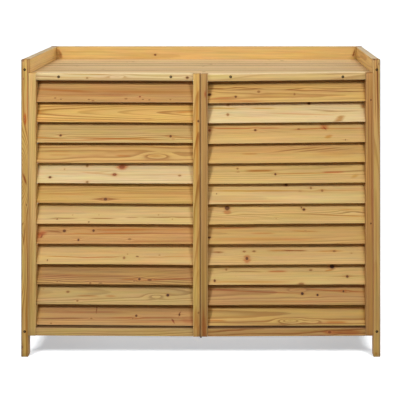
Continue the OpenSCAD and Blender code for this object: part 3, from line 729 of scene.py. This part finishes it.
def marks(board, look):
    """Turns a board's features from the photograph's pixels into its own sizes."""
    px, knot_px = 3.06, 3.5

    def at(x, y):
        q = (seen(x, y, board.o, board.b) - board.o) / MM
        return q.dot(board.l), q.dot(board.a)

    out = {k: v for k, v in look.items() if k not in ("knots", "eyes", "streaks", "patches")}
    out["knots"] = [(*at(x, y), r * knot_px, stretch, kind) for x, y, r, kind, stretch in look.get("knots", ())]
    out["eyes"] = [(*at(x, y), a * px, c * px, years) for x, y, a, c, years in look.get("eyes", ())]
    out["streaks"] = [(*at(x0, y0), *at(x1, y1), h * px, colour, much)
                      for x0, y0, x1, y1, h, colour, much in look.get("streaks", ())]
    out["patches"] = [(*at(x, y), a * px, c * px, turn, colour, much)
                      for x, y, a, c, turn, colour, much in look.get("patches", ())]
    return out


# How far the photograph's louvres stand below their even places at the middle, and how
# much lower 60 pixels further right, in its pixels.
SAG = {
    "left": [(0, 0.25), (0, 0.3), (0, 0.1), (0.05, 0.05), (0.1, 0.2), (-0.15, 0.35), (0.4, 0.25), (0, 0.12),
             (0.35, 0.35), (0.1, 0.4), (-0.1, 0.4), (0.15, 0.37)],
    "right": [(0, -0.75), (0.1, -0.55), (0.3, -0.7), (-0.2, -0.6), (0, -0.5), (0.2, -0.4), (0.2, -0.5), (0, -0.25),
              (0.45, -0.4), (0.2, -0.2), (0.2, -0.1), (0.5, -0.15)],
}


def front_louvres():
    for side, table in (("left", LEFT), ("right", RIGHT)):
        for row, look in table.items():
            node = f"{side}_louvre_{row:02d}"
            lo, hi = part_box(node)
            down, per60 = SAG[side][row - 1]
            size = ((hi[0] - lo[0]) / MM, LW, LT)
            o, l, _ = leaning(Vector((lo[0], lo[1], lo[2])), size[0], (-3.06 * down, -per60 / 60))
            turn = Matrix.Rotation(math.atan2(l.x, l.z) - math.pi / 2, 3, "Y")
            up, inward = (turn @ w for w in louvre_board())
            board = Board(o, l, up, inward, size)
            seed = row * 17 + (500 if side == "right" else 0)
            rng = random.Random(seed)
            # the boards next to the rails are straight and the lowest is sharp, or light
            # would show past them
            free = 0.0 if row in (1, 12) else 1.0
            sec = rounded(louvre_section(0.15 if free else 0.02), {1: 0.8, 12: 0.9}.get(row, 1.5))
            bow = rng.uniform(-0.5, 0.5) * free, rng.uniform(-0.5, 0.5) * free
            ob = board_mesh(node + "_board", board, sec, bow=bow, twist=rng.uniform(-0.35, 0.35) * free,
                            rough=0.16 if free else 0.05, seed=seed)
            ob.data.materials.append(wood(node + "_wood", board, seed=seed, **marks(board, look)))
            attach(ob, "root")
            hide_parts(node)


SLOT = {"cream": "straw_wood", "straw": "straw_wood", "khaki": "honey_wood", "honey": "honey_wood",
        "gold": "gold_wood", "orange": "gold_wood", "tan": "honey_wood", "russet": "russet_wood",
        "brown": "russet_wood", "nut": "russet_wood", "deck": "honey_wood", "rim": "gold_wood"}


def chance(rng, board, tone):
    """Features for a board that the photograph doesn't show."""
    lx, ax, _ = board.size
    look = {"knots": [], "eyes": [], "streaks": [], "patches": [],
            "contrast": 0.6 if tone in ("cream", "straw") else rng.uniform(0.75, 1.1)}
    for _ in range(rng.choice((0, 1, 1, 2, 3))):
        look["knots"].append((rng.uniform(0.08, 0.92) * lx, rng.uniform(0.15, 0.85) * ax, rng.uniform(2.2, 5.0),
                              rng.uniform(1.0, 1.5), rng.choice(("dark", "dark", "red", "brown", "brown", "black"))))
    for _ in range(rng.choice((0, 1, 2))):
        look["knots"].append((rng.uniform(0.05, 0.95) * lx, rng.uniform(0.1, 0.9) * ax, rng.uniform(1.2, 2.2),
                              rng.uniform(1.0, 2.0), rng.choice(("pin", "faint"))))
    if rng.random() < 0.3:
        look["eyes"].append((rng.uniform(0.2, 0.8) * lx, rng.uniform(0.3, 0.7) * ax, rng.uniform(35, 60),
                             rng.uniform(7, 11), rng.uniform(1.4, 3.0)))
    for _ in range(rng.choice((1, 2, 3))):
        u0 = rng.uniform(0.0, 0.6) * lx
        v0 = rng.uniform(0.1, 0.9) * ax
        look["streaks"].append((u0, v0, u0 + rng.uniform(0.2, 0.5) * lx, v0 + rng.uniform(-2, 2), rng.uniform(1.3, 3.5),
                                rng.choice((AMBER, AMBER, RUST, SOOT, HONEY)), rng.uniform(0.5, 1.1)))
    if rng.random() < 0.35:
        look["pith"], look["tilt"] = (rng.uniform(0.35, 0.65) * ax, rng.uniform(24, 40)), (0.0, rng.choice((-1, 1)) * 0.03)
    return look


def side_louvres():
    tones = ["gold", "khaki", "russet", "honey", "straw", "orange", "tan", "honey", "cream", "gold", "khaki", "russet"]
    for side, sx in (("left", -1), ("right", 1)):
        node = f"{side}_side_louvres"
        lo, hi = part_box(node)
        for row in range(12):
            seed = 900 + row * 13 + (300 if sx > 0 else 0)
            rng = random.Random(seed)
            up = Vector((-sx * math.sin(TILT), 0, math.cos(TILT)))
            inward = Vector((-sx * math.cos(TILT), 0, -math.sin(TILT)))
            outer = lo[0] if sx < 0 else hi[0]
            o = Vector((outer, lo[1], lo[2] + 0.060 * (11 - row)))
            board = Board(o, Vector((0, 1, 0)), up, inward, ((hi[1] - lo[1]) / MM, LW, LT))
            name = f"{side}_side_louvre_{row + 1:02d}_board"
            ob = board_mesh(name, board, rounded(louvre_section(), 1.5),
                            bow=(rng.uniform(-0.4, 0.4), rng.uniform(-0.4, 0.4)),
                            twist=rng.uniform(-0.3, 0.3), rough=0.16, seed=seed)
            tone = tones[(row + (5 if sx > 0 else 0)) % 12]
            ob.data.materials.append(wood(name[:-6] + "_wood", board, tone, seed, light=rng.uniform(0.93, 1.04),
                                          **chance(rng, board, tone)))
            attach(ob, "root")
            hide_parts(node)


# ---------------------------------------------------------------- everything else
def on_z(px, py, y=-0.225):
    """Height and place along X of a pixel in an upright plane, in metres."""
    p = seen(px, py, Vector((0, y, 0)), Vector((0, 1, 0)))
    return p.x, p.z


def upright(box, axis, look, y=-0.225):
    """Turns the features of an upright board from the photograph's pixels into its own
    sizes. Half lengths count along the grain and half heights across it."""
    px, knot_px = 3.06, 3.5

    def at(px_x, px_y):
        x, z = on_z(px_x, px_y, y)
        x, z = (x - box[0][0]) / MM, (z - box[0][2]) / MM
        return (z, x) if axis == "z" else (x, z)

    out = {k: v for k, v in look.items() if k not in ("knots", "eyes", "streaks", "patches")}
    out["knots"] = [(*at(x, y), r * knot_px, stretch, kind) for x, y, r, kind, stretch in look.get("knots", ())]
    out["eyes"] = [(*at(x, y), a * px, c * px, years) for x, y, a, c, years in look.get("eyes", ())]
    out["streaks"] = []
    for x0, y0, x1, y1, h, colour, much in look.get("streaks", ()):
        a, b = sorted((at(x0, y0), at(x1, y1)))
        out["streaks"].append((*a, *b, h * px, colour, much))
    out["patches"] = [(*at(x, y), a * px, c * px, turn, colour, much)
                      for x, y, a, c, turn, colour, much in look.get("patches", ())]
    return out


def frame_boards():
    w2, d2 = cad_hi.x, cad_hi.y
    into_back, into_front = (0, 1, 0), (0, -1, 0)
    z_rim, z_low = 0.879, 0.0775
    # painted shade: a grey darkening along the outer edge of each front post
    post_edge_shade = (150, 134, 104)
    posts = {
        "front_left_post": ("gold", 41, dict(
            light=0.98, wavy=0.6, contrast=1.6, ends=0.7, ring=4.0,
            edges=[(0, 5.5, post_edge_shade, 0.75)],
            eyes=[(21.8, 173, 27, 6.4, 9.0), (23.4, 217, 8.0, 1.8, 1.6), (22.0, 262, 30, 3.6, 3.0)],
            streaks=[(24.2, 62, 24.4, 90, 0.6, SOOT, 0.6), (27.4, 66, 27.6, 130, 0.7, RUST, 0.9),
                     # the streak along x 28.45 is painted shade in the post's joint with the outer stile
                     (28.45, 92, 28.45, 350, 0.5, SOOT, 1.5),
                     (27.8, 212, 28.6, 300, 0.8, RUST, 1.0), (23.4, 174, 26.2, 184, 0.8, (176, 112, 60), 1.2),
                     (22.9, 245, 24.6, 228, 0.5, SOOT, 1.0)],
            patches=[(24.6, 119, 7.5, 1.7, 0, (240, 160, 92), 1.0), (22.4, 60.4, 1.6, 1.4, 0, (130, 84, 48), 0.9)],
            knots=[(23.3, 60.0, 0.7, "brown", 1.6), (23.3, 78.8, 0.7, "brown", 1.8), (24.2, 119, 0.7, "brown", 1.6),
                   (21.9, 347.1, 0.9, "dark", 1.5), (26.4, 205, 0.5, "pin", 2.0)])),
        "front_right_post": ("orange", 42, dict(
            light=0.97, contrast=1.0, ends=0.7, edges=[(1, 6.0, post_edge_shade, 0.55)],
            streaks=[(377.6, 60, 378.2, 118, 0.9, SOOT, 1.1), (375.1, 62, 375.3, 118, 0.45, SOOT, 1.0),
                     (373.7, 118, 373.9, 345, 0.5, RUST, 1.0), (376.3, 190, 376.4, 330, 0.6, SOOT, 0.5)],
            patches=[(376.2, 353.6, 1.8, 2.0, 0, (250, 190, 120), 0.6), (374.7, 59.5, 0.9, 1.5, 0, (150, 100, 62), 0.9)],
            knots=[(378.9, 64, 0.8, "brown", 1.6)])),
        "back_left_post": ("honey", 43, {}),
        "back_right_post": ("gold", 44, {}),
    }
    for node, (tone, seed, look) in posts.items():
        front, left = node.startswith("front"), "left" in node
        x = (-1 if left else 1) * (w2 - 0.011)
        y = -d2 if front else d2
        spots = [((x, y, z), into_back if front else into_front) for z in (z_rim, z_low)]
        if not front:
            spots += [((-w2 if left else w2, d2 - 0.011, z), (1, 0, 0) if left else (-1, 0, 0))
                      for z in (0.895, 0.863, 0.834)]
        straight(node, node + "_board", "z", "-y" if front else "y", tone, seed, SLOT[tone], spots=spots,
                 inset=0.03, radius=1.8, bow=0.05 if front else 0.2, **{"ring": 2.2, **upright(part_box(node), "z", look)})

    # grime and painted shade in the joint between the two inner stiles, along the left one's edge
    joint_shade_and_grime = (130, 84, 36)
    stiles = {
        "left_outer_stile": ("rim", 51, dict(
            # painted shade along the left outer stile's joint with the post
            light=0.99, ends=0.15, edges=[(0, 2.0, (110, 72, 34), 0.5)],
            streaks=[(29.6, 185, 29.8, 340, 0.8, SOOT, 0.7), (31.8, 240, 31.9, 330, 0.5, SOOT, 0.5)])),
        "left_inner_stile": ("gold", 52, dict(
            light=1.0, ends=0.3, edges=[(1, 7.0, joint_shade_and_grime, 0.8)],
            streaks=[(196.8, 75, 197.2, 200, 1.3, AMBER, 1.0), (197.6, 200, 197.6, 300, 0.8, AMBER, 0.6)],
            patches=[(196.5, 322, 16, 3.0, 0, (226, 182, 146), 0.8)],
            knots=[(198.3, 121.2, 0.9, "dark", 1.2), (198.5, 312.8, 0.9, "brown", 1.2)])),
        "right_inner_stile": ("brown", 53, dict(
            light=0.95, ends=0.3,
            streaks=[(206.4, 76, 206.6, 120, 0.8, SOOT, 0.8), (203.2, 240, 203.4, 334, 0.7, SOOT, 0.5)],
            patches=[(205.2, 94, 5, 1.6, 0, (222, 150, 112), 0.9), (204, 325, 24, 4.0, 0, (224, 170, 140), 0.9)])),
        "right_outer_stile": ("nut", 54, dict(
            light=1.04, ends=0.3,
            streaks=[(371.8, 80, 372.0, 250, 0.9, SOOT, 0.7), (369.0, 90, 369.2, 180, 0.6, SOOT, 0.5),
                     (373.2, 220, 373.2, 336, 0.7, SOOT, 0.8)],
            knots=[(371, 100, 0.8, "dark", 1.2), (371, 223.5, 0.8, "dark", 1.2)])),
    }
    for node, (tone, seed, look) in stiles.items():
        inner = "inner" in node
        box = [Vector(v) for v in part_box(node)]
        if inner:
            box = [v - Vector((0, 0, 2.8 * MM)) for v in box]
        if node == "right_inner_stile":
            box[1].x -= 2.5 * MM
        straight(node, node + "_board", "z", "-y", tone, seed, SLOT[tone], inset=0.03 if inner else 0.1,
                 radius=0.6 if inner else 1.3, bow=0.0 if inner else 0.1, ring=2.3, box=box,
                 **upright(box, "z", look))

    # top rails: painted shade darkening them towards the lower edge and on the lower arris, a painted highlight along
    # the upper edge and on the top face
    rail_edge_shade_and_highlight = [(0, 13.0, (184, 144, 88), 0.5), (1, 4.0, (240, 212, 162), 0.4), (0, 2.6, (84, 50, 20), 0.7)]
    top_rail_highlight = ((0, 0, 1), (246, 222, 174), 0.55)
    rails = {
        "left_top_rail": ("cream", 61, dict(
            lean=(0.0, -0.0042), edges=rail_edge_shade_and_highlight, cap=top_rail_highlight,
            contrast=0.8, light=0.99, eyes=[(117, 76.2, 9, 1.6, 1.4)],
            streaks=[(36, 76.4, 60, 77.6, 0.5, SOOT, 0.6), (60, 74.4, 110, 74.8, 0.45, HONEY, 0.9)],
            knots=[(87.1, 78.2, 0.7, "brown", 1.5), (187.3, 77.4, 1.15, "dark", 1.2)])),
        "right_top_rail": ("straw", 62, dict(
            lean=(0.0, 0.0125), edges=rail_edge_shade_and_highlight, cap=top_rail_highlight,
            contrast=0.9, light=1.0, streaks=[(320, 74.6, 362, 74.4, 0.5, SOOT, 0.6)])),
        # the bottom rails' top faces get painted shade, the shadow of the lowest louvres
        "left_bottom_rail": ("tan", 63, dict(
            lean=(-0.6, -0.0055), light=1.0, inset=0.02, bow=0.0, radius=1.2, cap=((0, 0, 1), (88, 54, 24), 0.8))),
        "right_bottom_rail": ("russet", 64, dict(
            lean=(-1.2, 0.004), light=0.97, inset=0.02, bow=0.0, radius=1.2, cap=((0, 0, 1), (88, 54, 24), 0.8),
            streaks=[(322, 331.6, 344, 332.4, 0.9, RUST, 1.2)],
            patches=[(352, 332, 14, 3.0, 0, (224, 170, 140), 0.8)],
            knots=[(329.7, 332.0, 1.3, "red", 1.3)])),
    }
    for node, (tone, seed, look) in rails.items():
        lo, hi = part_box(node)
        inner, outer = 0.024 if node.startswith("left") else 0.0215, 0.505
        box = ((-outer, lo[1], lo[2]), (-inner, hi[1], hi[2])) if node.startswith("left") else (
            (inner, lo[1], lo[2]), (outer, hi[1], hi[2]))
        sx = -1 if node.startswith("left") else 1
        spots = [((sx * x, -d2, 0.857), into_back) for x in (0.0915, 0.435)] if "top" in node else []
        straight(node, node + "_board", "x", "-y", tone, seed, SLOT[tone], spots=spots, box=box,
                 **{"ring": 2.4, "radius": 1.5, **upright(box, "x", look)})

    # rim and deck
    # painted highlight on the top faces of both side rims
    rim_top_highlight = ((0, 0, 1), (222, 202, 170), 0.75)
    # shade paints the shadows that the side rims cast across the back rim's corners
    shade = (190, 140, 92)
    straight("back_rim", "back_rim_board", "x", "-y", "rim", 71, "gold_wood", contrast=0.5, light=1.0,
             pith=(30, 74), wavy=0.8,
             **upright(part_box("back_rim"), "x", dict(
                 knots=[(155.2, 54.8, 1.0, "dark", 1.3)],
                 # the three patches are painted shadows at the back rim's two corners
                 patches=[(60.4, 56.2, 3.6, 2.2, -48, shade, 0.6),
                          (60.3, 53.2, 5.0, 1.5, -60, shade, 0.7),
                          (354.0, 52.4, 5.2, 1.2, 76, (166, 112, 62), 0.9)]), y=0.203))
    straight("left_side_rim", "left_side_rim_board", "y", "x", "honey", 72, "gold_wood", light=1.03, contrast=0.6, ends=0.0,
             cap=((0, 0, 1), (206, 186, 154), 0.75))
    straight("right_side_rim", "right_side_rim_board", "y", "-x", "orange", 73, "gold_wood", light=0.96,
             contrast=0.7, cap=rim_top_highlight)
    straight("back_top_rail", "back_top_rail_board", "x", "y", "honey", 74, "honey_wood",
             spots=[((0, d2, 0.834), into_front)])
    # painted shade along the deck boards' long edges, in the gaps between them
    deck_gap_shade = (120, 84, 44)
    deck = {
        1: ("deck", 1.02, []), 2: ("deck", 1.02, [(245.2, 68.0, "brown")]), 3: ("deck", 1.08, []),
        4: ("deck", 0.98, [(275.4, 63.3, "pin")]), 5: ("deck", 1.16, []), 6: ("deck", 1.30, []),
    }
    for i, (tone, light, marks_) in deck.items():
        node = f"deck_board_{i}"
        lo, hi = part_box(node)
        knots = []
        for px, py, kind in marks_:
            p = seen(px, py, Vector((0, 0, 0.866)), Vector((0, 0, 1)))
            knots.append(((p.x - lo[0]) / MM, (p.y - lo[1]) / MM, 4.4, 1.2, kind))
        rng = random.Random(80 + i)
        knots += [(rng.uniform(80, 980), rng.uniform(12, 52), rng.uniform(3.0, 4.6), 1.2, rng.choice(("brown", "dark", "faint")))
                  for _ in range(2)]
        deck_edge_shade_and_highlight = [(0, 5.0, deck_gap_shade, (0.0, 0.5, 0.2, 0.5, 0.5, 0.2)[i - 1]),
                (1, 7.0, deck_gap_shade, (0.5, 0.2, 0.5, 0.2, 0.5, 0.1)[i - 1])]
        # the front board gets a painted highlight along its front edge instead
        if i == 1:
            deck_edge_shade_and_highlight[0] = (0, 9.0, (240, 210, 162), 0.7)
        straight(node, node + "_board", "x", "z", tone, 80 + i, "honey_wood", knots=knots, light=light,
                 tilt=(0.004, rng.uniform(-0.03, 0.03)), radius=2.6,
                 edges=deck_edge_shade_and_highlight)
    straight("middle_bearer", "middle_bearer_board", "y", "-z", "khaki", 91, "honey_wood")
    for sx, side in ((-1, "left"), (1, "right")):
        lo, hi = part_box("side_bearers")
        box = ((lo[0], lo[1], lo[2]), (lo[0] + 0.028, hi[1], hi[2])) if sx < 0 else (
            (hi[0] - 0.028, lo[1], lo[2]), (hi[0], hi[1], hi[2]))
        straight("side_bearers", f"{side}_bearer_board", "y", "-z", "khaki", 92 + sx, "honey_wood", box=box)

    # side panels
    for sx, side in ((-1, "left"), (1, "right")):
        shown = "-x" if sx < 0 else "x"
        for place, tone, seed in (("front", "honey", 101), ("back", "tan", 102)):
            straight(f"{side}_side_{place}_stile", f"{side}_side_{place}_stile_board", "z", shown, tone,
                     seed + 10 * sx, SLOT[tone])
        lo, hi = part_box(f"{side}_side_rails")
        for z0, z1, label, tone, seed in ((lo[2], lo[2] + 0.023, "low", "tan", 111), (hi[2] - 0.023, hi[2], "top", "straw", 112)):
            straight(f"{side}_side_rails", f"{side}_side_{label}_rail_board", "y", shown, tone, seed + 10 * sx,
                     SLOT[tone], box=((lo[0], lo[1], z0), (hi[0], hi[1], z1)))


# ---------------------------------------------------------------- metal
def metal(name, base, worn, seed):
    """Dull dark steel with scuffs and a trace of rust."""
    mat = bpy.data.materials.new(name)
    t = Tree(mat)
    coord = t.node("ShaderNodeTexCoord")
    p = t.vec("SCALE", coord.outputs["Object"])
    t.put(p.node.inputs["Scale"], 1000.0)
    p = t.vec("ADD", p, (seed * 3.1, 0, 0))
    fine = t.noise(t.vec("MULTIPLY", p, (1.7, 1.7, 1.7)), 4.0, 0.6)
    spots = t.noise(t.vec("MULTIPLY", p, (0.45, 0.45, 0.45)), 3.0, 0.6)
    col = t.mix(t.smooth(fine, 0.45, 0.7, 0.0, 0.7), lin(base), lin(worn))
    col = t.mix(t.smooth(spots, 0.56, 0.7, 0.0, 0.6), col, lin((96, 56, 30)))
    bump = t.node("ShaderNodeBump")
    bump.inputs["Strength"].default_value = 0.4
    bump.inputs["Distance"].default_value = 0.0002
    t.put(bump.inputs["Height"], fine)
    b = t.node("ShaderNodeBsdfPrincipled")
    t.put(b.inputs["Base Color"], col)
    t.put(b.inputs["Roughness"], t.math("MULTIPLY_ADD", fine, 0.35, 0.32))
    t.put(b.inputs["Metallic"], t.smooth(spots, 0.56, 0.7, 0.9, 0.1))
    t.put(b.inputs["Normal"], bump.outputs[0])
    out = t.node("ShaderNodeOutputMaterial")
    t.put(out.inputs["Surface"], b.outputs[0])
    return mat


def fittings():
    steel = metal("screw_steel", (44, 32, 18), (80, 62, 38), 1)
    for node in ("long_screws", "short_screws", "joint_clip"):
        ob = frame["nodes"][node] if isinstance(frame["nodes"], dict) else bpy.data.objects[node]
        ob = bpy.data.objects[ob] if isinstance(ob, str) else ob
        mat = steel if "screws" in node else metal("clip_steel", (84, 82, 80), (120, 118, 114), 2)
        if not ob.material_slots:
            ob.data.materials.append(mat)
        for s in ob.material_slots:
            s.link = "OBJECT"
            s.material = mat


# ---------------------------------------------------------------- studio
def area(name, at, to, size, power, colour=(1, 1, 1), spread=180):
    data = bpy.data.lights.new(name, "AREA")
    data.shape = "RECTANGLE"
    data.size, data.size_y = size
    data.energy = power
    data.color = colour
    data.spread = math.radians(spread)
    ob = bpy.data.objects.new(name, data)
    COLL.objects.link(ob)
    ob.location = at
    ob.rotation_mode = "QUATERNION"
    ob.rotation_quaternion = (Vector(to) - Vector(at)).to_track_quat("-Z", "Z")
    return ob


AMBIENT = 0.10
FLOOR_GLOW = 0.46


def studio():
    me = bpy.data.meshes.new("floor")
    bm = bmesh.new()
    bmesh.ops.create_grid(bm, x_segments=8, y_segments=8, size=45)
    bm.to_mesh(me)
    bm.free()
    floor = bpy.data.objects.new("floor", me)
    COLL.objects.link(floor)
    mat = bpy.data.materials.new("floor_white")
    t = Tree(mat)
    coord = t.node("ShaderNodeTexCoord")
    soft = t.noise(t.vec("MULTIPLY", coord.outputs["Object"], (3, 3, 3)), 3.0)
    away = t.vec("LENGTH", coord.outputs["Object"], out=1)
    b = t.node("ShaderNodeBsdfPrincipled")
    t.put(b.inputs["Base Color"], t.mix(soft, (0.90, 0.90, 0.90), (0.93, 0.93, 0.93)))
    b.inputs["Roughness"].default_value = 0.9
    b.inputs["Specular IOR Level"].default_value = 0.1
    b.inputs["Emission Color"].default_value = (0.94, 1.03, 1.12, 1)
    # painted shadow on the floor: it glows less near the object than far off, less again under its front and round the
    # bottoms of its posts
    glow = t.smooth(away, 0.9, 3.2, FLOOR_GLOW, FLOOR_GLOW + 0.17)
    front = t.vec("LENGTH", t.vec("SUBTRACT", coord.outputs["Object"], (0.0, -0.15, 0.0)), out=1)
    glow = t.math("ADD", glow, t.smooth(front, 0.20, 0.55, -0.07, 0.0))
    feet = t.vec("SUBTRACT", t.vec("ABSOLUTE", coord.outputs["Object"]), (0.54, 0.12, 0.0))
    feet = t.smooth(t.vec("LENGTH", feet, out=1), 0.05, 0.32, -0.09, 0.0)
    t.put(b.inputs["Emission Strength"], t.math("ADD", glow, feet))
    out = t.node("ShaderNodeOutputMaterial")
    t.put(out.inputs["Surface"], b.outputs[0])
    me.materials.append(mat)
    floor.visible_diffuse = False

    world = bpy.data.worlds.new("studio")
    bpy.context.scene.world = world
    world.use_nodes = True
    tree = world.node_tree
    tree.nodes.clear()
    path = tree.nodes.new("ShaderNodeLightPath")
    dim = tree.nodes.new("ShaderNodeBackground")
    dim.inputs["Strength"].default_value = AMBIENT
    white = tree.nodes.new("ShaderNodeBackground")
    white.inputs["Strength"].default_value = 1.0
    pick = tree.nodes.new("ShaderNodeMixShader")
    out = tree.nodes.new("ShaderNodeOutputWorld")
    for n in (dim, white):
        n.inputs["Color"].default_value = (1, 1, 1, 1)
    tree.links.new(path.outputs["Is Camera Ray"], pick.inputs[0])
    tree.links.new(dim.outputs[0], pick.inputs[1])
    tree.links.new(white.outputs[0], pick.inputs[2])
    tree.links.new(pick.outputs[0], out.inputs["Surface"])

    # the floor has two lights of its own, so that its shadow can be as short as the
    # photograph's; the lights behind would reach it through the open back
    others = bpy.data.collections.new("not_the_floor")
    others.objects.link(floor)
    others.collection_objects[0].light_linking.link_state = "EXCLUDE"
    alone = bpy.data.collections.new("the_floor")
    alone.objects.link(floor)
    lamps = [
        (area("key_left", (-0.80, -1.925, 1.557), (-0.1, -0.22, 0.45), (0.48, 0.34), 22.8), others),
        (area("key_right", (0.75, -1.925, 1.557), (0.1, -0.22, 0.45), (0.48, 0.34), 14.6), others),
        (area("back_left", (-2.9, 2.4, 1.7), (0.0, 0.0, 0.5), (1.8, 1.4), 55), others),
        (area("back_right", (2.9, 2.4, 1.7), (0.0, 0.0, 0.5), (1.8, 1.4), 62), others),
        (area("side_left", (-3.0, 0.25, 1.1), (0.0, 0.0, 0.5), (1.2, 1.0), 16), others),
        (area("side_right", (3.0, 0.25, 1.1), (0.0, 0.0, 0.5), (1.2, 1.0), 16), others),
        (area("floor_left", (-1.31, -1.33, 1.6), (-0.3, -0.1, 0.0), (0.7, 0.5), 32), alone),
        (area("floor_right", (1.31, -1.33, 1.6), (0.3, -0.1, 0.0), (0.7, 0.5), 32), alone),
    ]
    for lamp, who in lamps:
        lamp.light_linking.receiver_collection = who
    sky = bpy.data.lights.new("overhead", "SUN")
    sky.energy = 1.4
    sky.angle = math.radians(80)
    top = bpy.data.objects.new("overhead", sky)
    COLL.objects.link(top)
    view = bpy.context.scene.view_settings
    view.view_transform = "Standard"
    view.look = "None"
    view.exposure = 0.0
    view.gamma = 1.0


make_camera()
front_louvres()
side_louvres()
frame_boards()
fittings()
studio()
